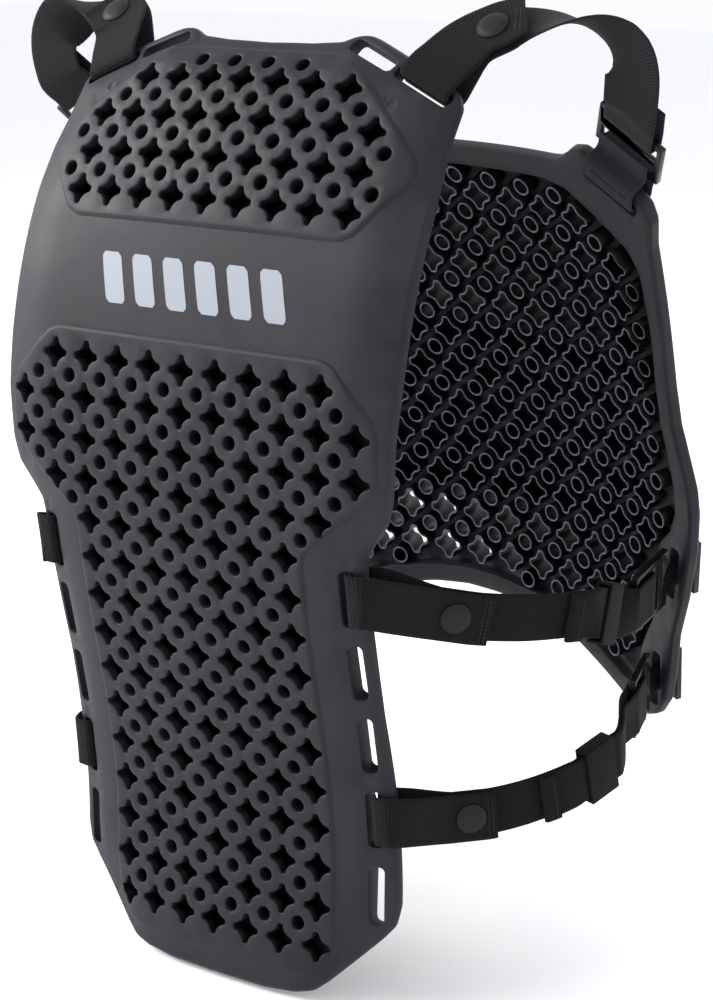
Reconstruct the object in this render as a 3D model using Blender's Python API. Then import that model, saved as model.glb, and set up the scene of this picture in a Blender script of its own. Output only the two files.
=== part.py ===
"""Torso protector: a perforated back panel and a chest panel joined by two shoulder straps and four side straps.

Metres, +Z up. The wearer faces -Y, so the back panel is at +Y, the chest panel at -Y, and +X is the wearer's left.
A panel point is given as (u, v, w) in millimetres: u across from the centre line, v down the panel, w out from its
outer reference face (minus is towards the wearer). Every strap is given by the points its centre line passes.
"""

import math

import bmesh
import bpy
import mathutils
import numpy as np

MM = 0.001
LIFT = 284.0          # puts the lowest point of the back panel near z = 0 while the pieces are made
CROWN = (0.0, -104.0, 463.0)   # top of the shoulder straps, which becomes the origin at the end
BACK_THICK = 13.0
CHEST_THICK = 12.0
EDGE_THICK = 6.5
EDGE_SLOPE_WIDTH = 25.0
ZONE_RAISE = 1.3
GRID = 13.0
WEB = 1.6             # webbing thickness
SIDE_WEB_WIDE = 25.0
SHOULDER_WEB_WIDE = 30.0
FLAP_LIFT = 4.7       # centre of the flap above the centre of the strap it snaps to
TAIL_LIFT = 2.3       # centre of the return tail above the centre of the strap
SLOT_LONG, SLOT_WIDE, SLOT_ROUND = 28.0, 7.2, 2.4
EAR_SLOT_LONG = 34.0
SIDE_SLOT_U = 90.5
MARK_LONG, MARK_TALL, MARK_V, MARK_SLANT, MARK_BARS = 106.0, 24.0, 101.0, 8.0, 8
SIDE_SLOT_V = (237.5, 275.5, 313.5, 351.5, 389.5)

# ---- panel faces: lean of the centre line at stations down the panel, and curvature across it
BACK = {"origin": (0.0, 0.0), "zero": 160.0, "lean_v": (-60, 20, 100, 180, 260, 340, 460),
        "lean": (-36.0, -30.5, -12.8, -0.7, 10.3, 7.0, -21.7), "side": 1,
        "bend_v": (0, 160, 280, 420), "bend": (1.87, 0.34, 1.02, 1.98), "flare": -15e-9, "thick": BACK_THICK}
CHEST = {"origin": (-215.0, 10.0), "zero": 0.0, "lean_v": (-120, 0, 120, 240),
         "lean": (-30.0, -20.0, -10.0, -8.0), "side": -1,
         "bend_v": (-120, 0, 120, 240), "bend": (2.0, 2.5, 3.0, 3.5), "flare": 0.0, "thick": CHEST_THICK}

# ---- half outlines, from the centre line round to the centre line, u and v in millimetres
BACK_EDGE = [(0, -24.5), (26, -25.5), (42, -27.5), (47.5, -30.5), (52, -32), (57, -32), (62, -30.5), (77, -24.5),
             (106, -11.5), (112, -8), (115, -2), (115.5, 20), (117.5, 36), (118.5, 60), (118, 110), (117.5, 134), (116, 165),
             (115, 187), (112, 199), (104, 210), (99.5, 217), (98.5, 225), (98, 300), (100, 345), (101, 394),
             (98.5, 404), (92, 411), (64, 437), (57, 442.5), (48, 445), (30, 446.8), (0, 447)]
BACK_UPPER = [(0, -18.5), (44, -19.5), (54, -17.5), (61, -12.5), (104, 28), (108, 36), (106, 44), (86, 70), (78, 73.5), (0, 73.5)]
BACK_LOWER = [(0, 125.8), (79, 126), (86, 128.5), (108, 151), (110.5, 158), (110.5, 180), (107, 187), (97, 196), (76, 212), (71, 218),
              (69.5, 226), (69.5, 415), (66, 424), (59, 433.5), (52, 436.5), (44, 437.5), (0, 437.7)]
CHEST_EDGE = [(0, -121), (60, -124), (112, -127), (119, -128), (126, -132), (132, -137), (139, -138.5), (146, -135.5), (170, -123), (177, -117.5),
              (179, -108), (175, -92), (174, -60), (172, -10), (173, 12), (178, 30), (183, 46), (184, 60), (181, 84),
              (173, 112), (164, 136), (160, 160), (156, 174), (148, 184), (138, 188), (124, 187), (98, 174),
              (78, 164), (50, 155), (22, 150), (0, 148.5)]
CHEST_UPPER = [(0, -110), (108, -112), (122, -108), (146, -86), (152, -72), (152, -20), (144, -8), (134, -6), (0, -6)]
CHEST_LOWER = [(0, 74), (120, 74), (136, 82), (148, 98), (150, 112), (142, 134), (136, 156), (128, 170), (116, 172),
               (84, 156), (40, 141), (0, 138)]
CHEST_EAR_SLOT = (154.0, -119.0, 27.0)
CHEST_SIDE_SLOTS = ((165.5, 98.0, 12.0), (147.5, 164.0, 6.0))
BACK_EAR_SLOTS = ((62.5, -20.5, 22.0, SLOT_LONG), (94.0, -8.0, 22.0, EAR_SLOT_LONG))

# ---- strap centre lines on the wearer's right, millimetres, from the back slot to the chest (before LIFT)
SHOULDER_RUN = [(-102.0, -84.0, 166.0), (-113.0, -91.5, 173.5), (-125.0, -98.0, 177.5), (-139.0, -104.0, 179.0),
                (-154.0, -108.5, 176.5), (-166.0, -108.5, 170.5), (-174.0, -106.0, 161.0)]
SHOULDER_WIDE = [(-0.95, 0.15, -0.3), (-0.95, 0.2, -0.25), (-0.93, 0.32, -0.22), (-0.72, 0.66, -0.15), (-0.6, 0.77, 0.2), (-0.8, 0.5, 0.3), (-0.97, 0.1, 0.1)]
UPPER_RUN = [(-113.0, -48.0, -87.0), (-137.0, -83.0, -94.0), (-154.0, -120.0, -97.0)]
LOWER_RUN = [(-111.0, -66.0, -192.5), (-131.0, -92.0, -190.0), (-147.0, -122.0, -182.5), (-151.5, -146.0, -175.0)]


# ------------------------------------------------------------------------------------------------ panel face
def spline(x, y, at):
    """Natural cubic through (x, y)."""
    x, y = np.array(x, float), np.array(y, float)
    n = len(x)
    h = np.diff(x)
    a, b = np.eye(n), np.zeros(n)
    for i in range(1, n - 1):
        a[i, i - 1 : i + 2] = h[i - 1], 2 * (h[i - 1] + h[i]), h[i]
        b[i] = 6 * ((y[i + 1] - y[i]) / h[i] - (y[i] - y[i - 1]) / h[i - 1])
    m = np.linalg.solve(a, b)
    at = np.clip(at, x[0], x[-1])
    k = np.clip(np.searchsorted(x, at) - 1, 0, n - 2)
    p, q = x[k + 1] - at, at - x[k]
    return (m[k] * p**3 + m[k + 1] * q**3) / (6 * h[k]) + (y[k] / h[k] - m[k] * h[k] / 6) * p + (y[k + 1] / h[k] - m[k + 1] * h[k] / 6) * q


def face(panel, u, v, w):
    """World millimetres of panel points."""
    u, v, w = (np.atleast_1d(np.array(t, float)) for t in (u, v, w))
    s = np.arange(-260.0, 560.0, 1.0)
    t = np.radians(spline(panel["lean_v"], panel["lean"], s))
    side = panel["side"]
    dy, dz = -side * np.sin(t), -np.cos(t)
    y = np.concatenate([[0], np.cumsum((dy[1:] + dy[:-1]) / 2)])
    z = np.concatenate([[0], np.cumsum((dz[1:] + dz[:-1]) / 2)])
    zero = np.searchsorted(s, panel["zero"])
    y0, z0 = panel["origin"]
    tt = np.interp(v, s, t)
    k = np.interp(v, panel["bend_v"], panel["bend"]) / 1000
    a = k * u
    x = np.sin(a) / k - w * -np.sin(a)
    sag = (1 - np.cos(a)) / k + panel["flare"] * u**4 - w * np.cos(a)
    yy = y0 + np.interp(v, s, y - y[zero]) - side * sag * np.cos(tt)
    zz = z0 + np.interp(v, s, z - z[zero]) + sag * np.sin(tt)
    return np.stack([x, yy, zz + LIFT], axis=-1)


def frame_at(panel, u, v, w=0.0, turn=0.0):
    """Point, direction along a slot turned by turn degrees, direction up across it, and outward normal."""
    p = face(panel, u, v, w)[0]
    du = face(panel, u + 1, v, w)[0] - p
    dv = face(panel, u, v + 1, w)[0] - p
    n = face(panel, u, v, w + 1)[0] - p
    c, s = math.cos(math.radians(turn)), math.sin(math.radians(turn))
    along = du / np.linalg.norm(du) * c + dv / np.linalg.norm(dv) * s
    n = n / np.linalg.norm(n)
    along -= n * along.dot(n)
    along /= np.linalg.norm(along)
    up = np.cross(n, along)
    if up[2] < 0:
        up = -up
    return p, along, up, n


def edge_distance(points, outline):
    ring = np.array(outline, float)
    a, b = ring, np.roll(ring, -1, axis=0)
    best = np.full(len(points), 1e9)
    for p, q in zip(a, b):
        d = q - p
        f = np.clip(((points - p) @ d) / max(d @ d, 1e-9), 0, 1)
        best = np.minimum(best, np.linalg.norm(points - (p + f[:, None] * d), axis=1))
    return best


# ------------------------------------------------------------------------------------------------ mesh helpers
def whole(half):
    """A closed outline from its half, centre line to centre line."""
    return list(half) + [(-u, v) for u, v in reversed(half) if abs(u) > 1e-6]


def new_object(name, verts, faces, colour=None, rough=0.6, metal=0.0, hidden=False):
    mesh = bpy.data.meshes.new(name)
    mesh.from_pydata([tuple(map(float, v)) for v in verts], [], faces)
    mesh.update()
    obj = bpy.data.objects.new(name, mesh)
    (CUTTERS if hidden else bpy.context.scene.collection).objects.link(obj)
    if hidden:
        obj.hide_render = True
        obj.display_type = "WIRE"
    if colour:
        material = bpy.data.materials.new(name)
        material.use_nodes = True
        shader = material.node_tree.nodes["Principled BSDF"]
        shader.inputs["Base Color"].default_value = (*colour, 1)
        shader.inputs["Roughness"].default_value = rough
        shader.inputs["Metallic"].default_value = metal
        mesh.materials.append(material)
        material.diffuse_color = (*colour, 1)
    return obj


def outward(obj):
    bm = bmesh.new()
    bm.from_mesh(obj.data)
    bmesh.ops.remove_doubles(bm, verts=bm.verts, dist=1e-7)
    bmesh.ops.recalc_face_normals(bm, faces=bm.faces)
    if bm.calc_volume(signed=True) < 0:
        bmesh.ops.reverse_faces(bm, faces=bm.faces)
    bm.to_mesh(obj.data)
    bm.free()


def prism(name, ring, low, high, inset=0.0):
    """Solid of a flat outline between two heights, its top drawn in by inset."""
    ring = np.array(ring, float)
    n = len(ring)
    top = ring
    if inset:
        step = np.roll(ring, -1, axis=0) - np.roll(ring, 1, axis=0)
        step /= np.linalg.norm(step, axis=1)[:, None]
        area = np.sum(ring[:, 0] * np.roll(ring[:, 1], -1) - np.roll(ring[:, 0], -1) * ring[:, 1])
        turn = np.stack([-step[:, 1], step[:, 0]], axis=1) * np.sign(area)
        top = ring + turn * inset
    verts = [(*p, low) for p in ring] + [(*p, high) for p in top]
    faces = [tuple(range(n)), tuple(range(2 * n - 1, n - 1, -1))]
    faces += [(i, n + i, n + (i + 1) % n, (i + 1) % n) for i in range(n)]
    obj = new_object(name, verts, faces, hidden=True)
    outward(obj)
    return obj


def grid_slab(name, ring, low, high, colour=None):
    """A slab divided into squares, wide enough for the outline."""
    ring = np.array(ring, float)
    us = np.arange(math.floor(ring[:, 0].min() / GRID) - 1, math.ceil(ring[:, 0].max() / GRID) + 2) * GRID + 0.37
    vs = np.arange(math.floor(ring[:, 1].min() / GRID) - 1, math.ceil(ring[:, 1].max() / GRID) + 2) * GRID + 0.53
    a, b = len(us), len(vs)
    verts = [(u, v, z) for z in (low, high) for v in vs for u in us]
    at = lambda i, j, k: k * a * b + j * a + i
    faces = []
    for j in range(b - 1):
        for i in range(a - 1):
            faces.append((at(i, j, 0), at(i, j + 1, 0), at(i + 1, j + 1, 0), at(i + 1, j, 0)))
            faces.append((at(i, j, 1), at(i + 1, j, 1), at(i + 1, j + 1, 1), at(i, j + 1, 1)))
    for i in range(a - 1):
        faces.append((at(i, 0, 0), at(i + 1, 0, 0), at(i + 1, 0, 1), at(i, 0, 1)))
        faces.append((at(i + 1, b - 1, 0), at(i, b - 1, 0), at(i, b - 1, 1), at(i + 1, b - 1, 1)))
    for j in range(b - 1):
        faces.append((at(0, j + 1, 0), at(0, j, 0), at(0, j, 1), at(0, j + 1, 1)))
        faces.append((at(a - 1, j, 0), at(a - 1, j + 1, 0), at(a - 1, j + 1, 1), at(a - 1, j, 1)))
    return new_object(name, verts, faces, colour)


def cut(obj, other, how):
    bpy.context.view_layer.objects.active = obj
    modifier = obj.modifiers.new(how.lower(), "BOOLEAN")
    modifier.operation, modifier.solver, modifier.object = how, "EXACT", other
    bpy.ops.object.select_all(action="DESELECT")
    obj.select_set(True)
    bpy.ops.object.modifier_apply(modifier=modifier.name)


def slot_ring(u, v, turn, long, wide, corner=3):
    """A slot with rounded corners; turn is from the u direction towards v."""
    c, s = math.cos(math.radians(turn)), math.sin(math.radians(turn))
    ring = []
    for quarter, (sx, sy) in enumerate(((1, 1), (-1, 1), (-1, -1), (1, -1))):
        for k in range(corner + 1):
            a = math.radians(90 * quarter + 90 * k / corner)
            x = sx * (long / 2 - SLOT_ROUND) + SLOT_ROUND * math.cos(a)
            y = sy * (wide / 2 - SLOT_ROUND) + SLOT_ROUND * math.sin(a)
            ring.append((u + x * c - y * s, v + x * s + y * c))
    return ring


def build_panel(name, panel, half, zones, slots, colour):
    outline = whole(half)
    thick = panel["thick"]
    obj = grid_slab(name, outline, -thick, 0.0, colour)
    cut(obj, prism(name + "_edge_cutter", outline, -thick - 2, 3), "INTERSECT")
    for k, zone in enumerate(zones):
        ring = whole(zone)
        pad = grid_slab(name + "_zone%d" % k, ring, -0.8, ZONE_RAISE)
        cut(pad, prism(name + "_zone%d_cutter" % k, ring, -0.81, ZONE_RAISE + 0.01, ZONE_RAISE), "INTERSECT")
        cut(obj, pad, "UNION")
        bpy.data.objects.remove(pad)
    for k, (u, v, turn, long) in enumerate(slots):
        for side in (1, -1):
            ring = [(side * a, b) for a, b in slot_ring(u, v, turn, long, SLOT_WIDE)]
            cut(obj, prism("%s_slot%d_%s" % (name, k, "lr"[side < 0]), ring, -thick - 2, 3), "DIFFERENCE")
    bm = bmesh.new()
    bm.from_mesh(obj.data)
    bmesh.ops.triangulate(bm, faces=bm.faces)
    bm.to_mesh(obj.data)
    bm.free()
    flat = np.array([v.co[:] for v in obj.data.vertices])
    near = edge_distance(flat[:, :2], outline)
    slope = thick - EDGE_THICK
    fall = slope * (1 - np.clip(near / EDGE_SLOPE_WIDTH, 0, 1)) ** 1.3
    share = np.clip((flat[:, 2] + thick) / thick, 0, 1)
    world = face(panel, flat[:, 0], flat[:, 1], flat[:, 2] - fall * share) * MM
    for vert, p in zip(obj.data.vertices, world):
        vert.co = p
    outward(obj)
    return obj


def plate(name, points, quads, low, high, panel, colour):
    """A thin closed plate of four-sided tiles that follows the panel between two heights."""
    n = len(points)
    p = np.array(points, float)
    verts = np.vstack([face(panel, p[:, 0], p[:, 1], np.full(n, w)) for w in (low, high)]) * MM
    faces = [q[::-1] for q in quads] + [tuple(k + n for k in q) for q in quads]
    sides = {}
    for q in quads:
        for a, b in zip(q, q[1:] + q[:1]):
            sides[tuple(sorted((a, b)))] = sides.get(tuple(sorted((a, b))), []) + [(a, b)]
    faces += [(a, b, b + n, a + n) for found in sides.values() if len(found) == 1 for a, b in found]
    obj = new_object(name, verts, faces, colour, 0.5)
    outward(obj)
    return obj


def border_faces(panel, outline, u, v):
    """w of the outer face and of the inner face at a border point."""
    near = edge_distance(np.array([[u, v]]), outline)[0]
    slope = panel["thick"] - EDGE_THICK
    return -slope * (1 - min(near / EDGE_SLOPE_WIDTH, 1)) ** 1.3, -panel["thick"]


def smooth_path(points, step, bend=16.0):
    """Centripetal curve through the points, with points closer together where it turns more."""
    p = np.array(points, float)
    p = np.vstack([2 * p[0] - p[1], p, 2 * p[-1] - p[-2]])
    out = []
    for i in range(1, len(p) - 2):
        knots = [0.0]
        for a, b in ((i - 1, i), (i, i + 1), (i + 1, i + 2)):
            knots.append(knots[-1] + max(np.linalg.norm(p[b] - p[a]), 1e-6) ** 0.5)
        t0, t1, t2, t3 = knots
        for t in np.linspace(t1, t2, 16, endpoint=False):
            a1 = (t1 - t) / (t1 - t0) * p[i - 1] + (t - t0) / (t1 - t0) * p[i]
            a2 = (t2 - t) / (t2 - t1) * p[i] + (t - t1) / (t2 - t1) * p[i + 1]
            a3 = (t3 - t) / (t3 - t2) * p[i + 1] + (t - t2) / (t3 - t2) * p[i + 2]
            b1 = (t2 - t) / (t2 - t0) * a1 + (t - t0) / (t2 - t0) * a2
            b2 = (t3 - t) / (t3 - t1) * a2 + (t - t1) / (t3 - t1) * a3
            out.append((t2 - t) / (t2 - t1) * b1 + (t - t1) / (t2 - t1) * b2)
    out.append(p[-2])
    out = np.array(out)
    move = np.diff(out, axis=0)
    length = np.linalg.norm(move, axis=1)
    way = move / length[:, None]
    turn = np.concatenate([[0], np.degrees(np.arccos(np.clip(np.sum(way[1:] * way[:-1], axis=1), -1, 1)))])
    effort = np.concatenate([[0], np.cumsum(length / step + turn / bend)])
    at = np.linspace(0, effort[-1], max(2, int(round(effort[-1])) + 1))
    return np.stack([np.interp(at, effort, out[:, k]) for k in range(3)], axis=1)


def lengths(path):
    return np.concatenate([[0], np.cumsum(np.linalg.norm(np.diff(path, axis=0), axis=1))])


def straighten(path, wide, at, half):
    """Makes the stretch of half each side of at flat and untwisted. It gives the new path and the middle's index."""
    run = lengths(path)
    pick = lambda d: np.array([np.interp(d, run, path[:, k]) for k in range(3)])
    lo, hi = pick(at - half), pick(at + half)
    w = np.array([np.interp(at, run, wide[:, k]) for k in range(3)])
    t = (hi - lo) / np.linalg.norm(hi - lo)
    w -= t * w.dot(t)
    w /= np.linalg.norm(w)
    before, after = run < at - half - 1.0, run > at + half + 1.0
    path = np.vstack([path[before], [lo, (lo + hi) / 2, hi], path[after]])
    wide = np.vstack([wide[before], [w, w, w], wide[after]])
    return path, wide, int(before.sum()) + 1


def nearest(path, points):
    return [int(np.argmin(np.linalg.norm(path - p, axis=1))) for p in points]


def tangents(path):
    t = np.gradient(path, axis=0)
    return t / np.linalg.norm(t, axis=1)[:, None]


def turned_wide(path, knots, wides):
    """The width direction at each point, passing through the given one at each knot and square to the path."""
    run = lengths(path)
    at = [run[np.argmin(np.linalg.norm(path - k, axis=1))] for k in knots]
    return square(path, np.stack([np.interp(run, at, np.array(wides)[:, k]) for k in range(3)], axis=1))


def ribbon(name, path, wide, width, thick, colour, keep=None):
    """A strap of even section along a path; wide is the width direction at each point."""
    t = tangents(path)
    n = np.cross(t, wide)
    n /= np.linalg.norm(n, axis=1)[:, None]
    a, h = width / 2, thick / 2
    verts = []
    for p, b, m in zip(path, wide, n):
        verts += [p - b * a - m * h, p + b * a - m * h, p + b * a + m * h, p - b * a + m * h]
    faces = [(3, 2, 1, 0)]
    for i in range(len(path) - 1):
        q = i * 4
        faces += [(q + k, q + (k + 1) % 4, q + 4 + (k + 1) % 4, q + 4 + k) for k in range(4)]
    q = (len(path) - 1) * 4
    faces.append((q, q + 1, q + 2, q + 3))
    obj = new_object(name, np.array(verts) * MM, faces, colour, 0.85)
    outward(obj)
    return obj


def turned(name, profile, origin, axis, colour, rough=0.4, metal=0.0, count=18):
    """A closed profile of (radius, height) spun about axis at origin."""
    axis = np.array(axis) / np.linalg.norm(axis)
    side = np.cross(axis, [0.31, 0.45, 0.84])
    side /= np.linalg.norm(side)
    other = np.cross(axis, side)
    verts, rings = [], []
    for r, h in profile:
        if r < 1e-6:
            rings.append([len(verts)])
            verts.append(origin + axis * h)
        else:
            rings.append(list(range(len(verts), len(verts) + count)))
            for k in range(count):
                a = 2 * math.pi * k / count
                verts.append(origin + axis * h + (side * math.cos(a) + other * math.sin(a)) * r)
    faces = []
    m = len(rings)
    for i in range(m):
        p, q = rings[i], rings[(i + 1) % m]
        for k in range(count):
            j = (k + 1) % count
            if len(p) == 1 and len(q) == 1:
                continue
            if len(p) == 1:
                faces.append((p[0], q[k], q[j]))
            elif len(q) == 1:
                faces.append((p[k], q[0], p[j]))
            else:
                faces.append((p[k], q[k], q[j], p[j]))
    obj = new_object(name, np.array(verts) * MM, faces, colour, rough, metal)
    outward(obj)
    return obj


def box(name, origin, axes, low, high, colour=None, hidden=False):
    """A block between two corners in a local frame whose rows are the three axes."""
    ax = np.array(axes)
    c = [(x, y, z) for z in (low[2], high[2]) for y in (low[1], high[1]) for x in (low[0], high[0])]
    verts = [(np.array(origin) + ax.T @ np.array(p)) * MM for p in c]
    faces = [(0, 2, 3, 1), (4, 5, 7, 6), (0, 1, 5, 4), (2, 6, 7, 3), (0, 4, 6, 2), (1, 3, 7, 5)]
    obj = new_object(name, verts, faces, colour, 0.35, hidden=hidden)
    outward(obj)
    return obj


def join_union(obj, others):
    for other in others:
        cut(obj, other, "UNION")
        bpy.data.objects.remove(other)
    outward(obj)
    return obj


# ------------------------------------------------------------------------------------------------ colours
RUBBER = (0.085, 0.085, 0.1)
RUBBER_CHEST = (0.065, 0.065, 0.078)
PRINT = (0.55, 0.57, 0.62)
BLACK_WEB = (0.018, 0.018, 0.022)
RIB_WEB = (0.03, 0.03, 0.034)
ACETAL = (0.012, 0.012, 0.014)
CAP_BLACK = (0.02, 0.02, 0.021)
SNAP_METAL = (0.045, 0.045, 0.05)


def snap_set(tag, at, normal, flap, strap):
    """Cap on the flap, socket under it, stud on the strap, and the stud's rivet on the strap's other side."""
    for obj, name in ((flap, "f"), (strap, "s")):
        pin = turned("pin_%s_%s" % (tag, name), [(0, -9), (2.2, -9), (2.2, 9), (0, 9)], at, normal, None)
        CUTTERS.objects.link(pin)
        bpy.context.scene.collection.objects.unlink(pin)
        pin.hide_render, pin.display_type = True, "WIRE"
        cut(obj, pin, "DIFFERENCE")
        outward(obj)
    top = FLAP_LIFT - WEB / 2
    half = WEB / 2
    turned("snap_cap_" + tag, [(0, FLAP_LIFT + half + 2.0), (3.2, FLAP_LIFT + half + 1.85), (5.8, FLAP_LIFT + half + 1.35), (7.2, FLAP_LIFT + half + 0.75),
           (7.5, FLAP_LIFT + half + 0.15), (1.8, FLAP_LIFT + half + 0.15), (1.8, top - 0.05), (0, top - 0.05)], at, normal, CAP_BLACK, 0.4)
    turned("snap_socket_" + tag, [(0, top - 0.15), (5.8, top - 0.15), (6.0, top - 0.5), (6.0, top - 1.3), (5.4, top - 1.65),
           (2.7, top - 1.65), (2.7, top - 0.65), (0, top - 0.65)], at, normal, SNAP_METAL, 0.35, 0.9)
    turned("snap_stud_" + tag, [(0, half + 1.9), (1.8, half + 1.9), (2.3, half + 1.5), (2.0, half + 0.75), (5.0, half + 0.75), (5.4, half + 0.5), (5.4, half + 0.12), (0, half + 0.12)],
           at, normal, SNAP_METAL, 0.35, 0.9)
    turned("snap_rivet_" + tag, [(0, half + 0.02), (1.8, half + 0.02), (1.8, -half - 0.12), (5.2, -half - 0.12), (5.4, -half - 0.5), (4.6, -half - 0.95), (0, -half - 1.1)],
           at, normal, SNAP_METAL, 0.35, 0.9)


def strip_along(path, wide, outer):
    """The strap's own outward normal at each point."""
    n = np.cross(tangents(path), wide)
    n /= np.linalg.norm(n, axis=1)[:, None]
    return n if np.sum(n[: len(n) // 3] @ np.array(outer)) > 0 else -n


def square(path, wide):
    t = tangents(path)
    wide = wide - t * np.sum(wide * t, axis=1)[:, None]
    return wide / np.linalg.norm(wide, axis=1)[:, None]


def slot_wrap(s0, n0, away, outer_w, inner_w, bar_far):
    """Strap points from inside the slot to the bar's inner side, and flap points from the slot's mouth over its outer side."""
    mid = (outer_w + inner_w) / 2
    strap = [s0 + n0 * (mid - 0.5), s0 + n0 * (inner_w + 0.2), s0 + n0 * (inner_w - 1.4) + away * 1.2,
             s0 + n0 * (inner_w - 2.7) + away * 3.4, s0 + n0 * (inner_w - 3.9) + away * 7.0]
    flap = [s0 + n0 * (outer_w - 1.3), s0 + n0 * (outer_w - 0.1), s0 + n0 * (outer_w + 1.4) + away * 1.2,
            s0 + n0 * (outer_w + 1.9) + away * 3.4, s0 + n0 * (outer_w + 1.6) + away * (bar_far - 0.5)]
    return strap, flap


def build_side(tag, side, slot_v, run, chest_slot, snap_at, flap_long, keeper_mid, keeper_at, tail_stop):
    """One side strap: strap, flap, snap, keeper and hook buckle. side is +1 for the wearer's left."""
    back_ring, chest_ring = whole(BACK_EDGE), whole(CHEST_EDGE)
    outer_w, inner_w = border_faces(BACK, back_ring, SIDE_SLOT_U + 2, slot_v)
    s0, down, _, n0 = frame_at(BACK, -SIDE_SLOT_U, slot_v, 0.0, 90.0)
    down = down if down[2] < 0 else -down
    out = np.cross(n0, down)
    out = out if out[0] < 0 else -out
    cu, cv, turn = chest_slot
    co, ci = border_faces(CHEST, chest_ring, cu, cv)
    c0, cdown, _, cn = frame_at(CHEST, -cu, cv, (co + ci) / 2, 90.0 - turn)
    cdown = cdown if cdown[2] < 0 else -cdown
    cout = np.cross(cn, cdown)
    cout = cout if cout[0] < 0 else -cout
    half_chest = (co - ci) / 2
    run = [np.array(p) + (0, 0, LIFT) for p in run]
    mirror = np.array([-side, 1, 1.0])
    place = lambda p: np.array(p) * mirror
    # hook buckle: a frame behind the chest slot, a neck through it and a toe across the outer side
    heel = c0 - cn * (half_chest + 5.6) + cout * 0.5
    back_way = run[-1] - heel
    back_way -= cdown * back_way.dot(cdown)
    back_way /= np.linalg.norm(back_way)
    plate_n = np.cross(back_way, cdown)
    plate_n = plate_n if plate_n.dot(cout) > 0 else -plate_n
    origin = heel + back_way * 7.5
    axes = [back_way * mirror, cdown * mirror, plate_n * mirror]
    frame = box("buckle_" + tag, place(origin), axes, (-8.7, -16.5, -1.7), (21.5, 16.5, 1.7), ACETAL)
    for k, (lo, hi) in enumerate(((0.0, 7.4), (10.8, 18.0))):
        cut(frame, box("window%d_%s" % (k, tag), place(origin), axes, (lo, -13.6, -4), (hi, 13.6, 4), hidden=True), "DIFFERENCE")
    slot_axes = [cn * mirror, cdown * mirror, cout * mirror]
    neck = box("neck_" + tag, place(c0), slot_axes, (-half_chest - 7.2, -6.0, -1.6), (half_chest + 3.0, 6.0, 1.8))
    toe = box("toe_" + tag, place(c0), slot_axes, (half_chest + 2.2, -15.0, -2.4), (half_chest + 5.4, 15.0, 2.6))
    join_union(frame, [neck, toe])
    at = lambda x, n: origin + back_way * x + plate_n * n
    # strap: from inside the back slot, along the run and under the buckle's bars
    bar_far = 9.5
    start, flap_start = slot_wrap(s0, n0, out, outer_w, inner_w, bar_far)
    hop = 3.3
    forward = smooth_path(start + run + [at(30, -hop - 0.4), at(22, -hop), at(12, -hop)], 6.0)
    f = (lengths(forward) / lengths(forward)[-1])[:, None]
    wide = square(forward, down * (1 - f) + cdown * f)
    forward, wide, k_snap = straighten(forward, wide, snap_at, 9.0)
    forward, wide, k_keep = straighten(forward, wide, keeper_mid, 14.5)
    normal = strip_along(forward, wide, out)
    bend = [at(7.4, -hop), at(6.4, -2.9), at(5.9, -1.7), at(5.9, 0), at(5.9, 1.7), at(6.4, 2.9), at(7.4, hop), at(12, hop), at(20, hop), at(24, hop)]
    run_len = lengths(forward)
    keep = (run_len > tail_stop) & (run_len < run_len[-1] - 20)
    tail = (forward + normal * TAIL_LIFT)[keep][::-1]
    t_end, n_end = tangents(forward)[keep][0], normal[keep][0]
    hem = [tail[-1] - t_end * 1.6 + n_end * 0.5, tail[-1] - t_end * 2.2 + n_end * 1.4, tail[-1] - t_end * 1.6 + n_end * 2.2, tail[-1] + t_end * 1.0 + n_end * 2.4, tail[-1] + t_end * 6.0 + n_end * 2.3]
    whole_path = np.vstack([forward, bend, tail, hem])
    whole_wide = np.vstack([wide, [cdown] * len(bend), wide[keep][::-1], [wide[keep][0]] * len(hem)])
    strap = ribbon("strap_" + tag, place(whole_path), square(whole_path, whole_wide) * mirror, SIDE_WEB_WIDE, WEB, BLACK_WEB)
    # flap
    lifted = forward + normal * FLAP_LIFT
    k_end = int(np.argmin(np.abs(run_len - flap_long)))
    first = smooth_path(flap_start + [lifted[k_snap - 1]], 6.0)[:-1]
    flap_path = np.vstack([first, lifted[k_snap - 1 : k_end + 1]])
    fw = np.vstack([wide[nearest(forward, first)], wide[k_snap - 1 : k_end + 1]])
    fw[: len(first) + 1] = square(flap_path, fw)[: len(first) + 1]
    flap = ribbon("flap_" + tag, place(flap_path), fw * mirror, SIDE_WEB_WIDE, WEB, BLACK_WEB)
    snap_set(tag, place(forward[k_snap]), normal[k_snap] * mirror, flap, strap)
    kt, kw, kn = tangents(forward)[k_keep], wide[k_keep], normal[k_keep]
    centre = forward[k_keep] + kn * TAIL_LIFT / 2 + kt * (keeper_at - keeper_mid)
    kax = [kt * mirror, kw * mirror, kn * mirror]
    keeper = box("keeper_" + tag, place(centre), kax, (-9.5, -14.9, -4.0), (9.5, 14.9, 4.0), BLACK_WEB)
    cut(keeper, box("keeper_hole_" + tag, place(centre), kax, (-12, -13.5, -2.8), (12, 13.5, 2.8), hidden=True), "DIFFERENCE")
    outward(keeper)
    print("SIDE", tag, "strap", round(run_len[-1], 1), "slot", place(s0).round(1), "down", (down * mirror).round(3), "out", (out * mirror).round(3), "n", (n0 * mirror).round(3),
          "w", round(outer_w, 2), round(inner_w, 2), "keeper", place(centre).round(1), (kt * mirror).round(3), (kn * mirror).round(3), "snap", place(forward[k_snap]).round(1), (normal[k_snap] * mirror).round(3),
          "chest slot", place(c0).round(1), (cn * mirror).round(3), (cdown * mirror).round(3), "buckle", place(origin).round(1), (back_way * mirror).round(3), (plate_n * mirror).round(3))


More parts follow.
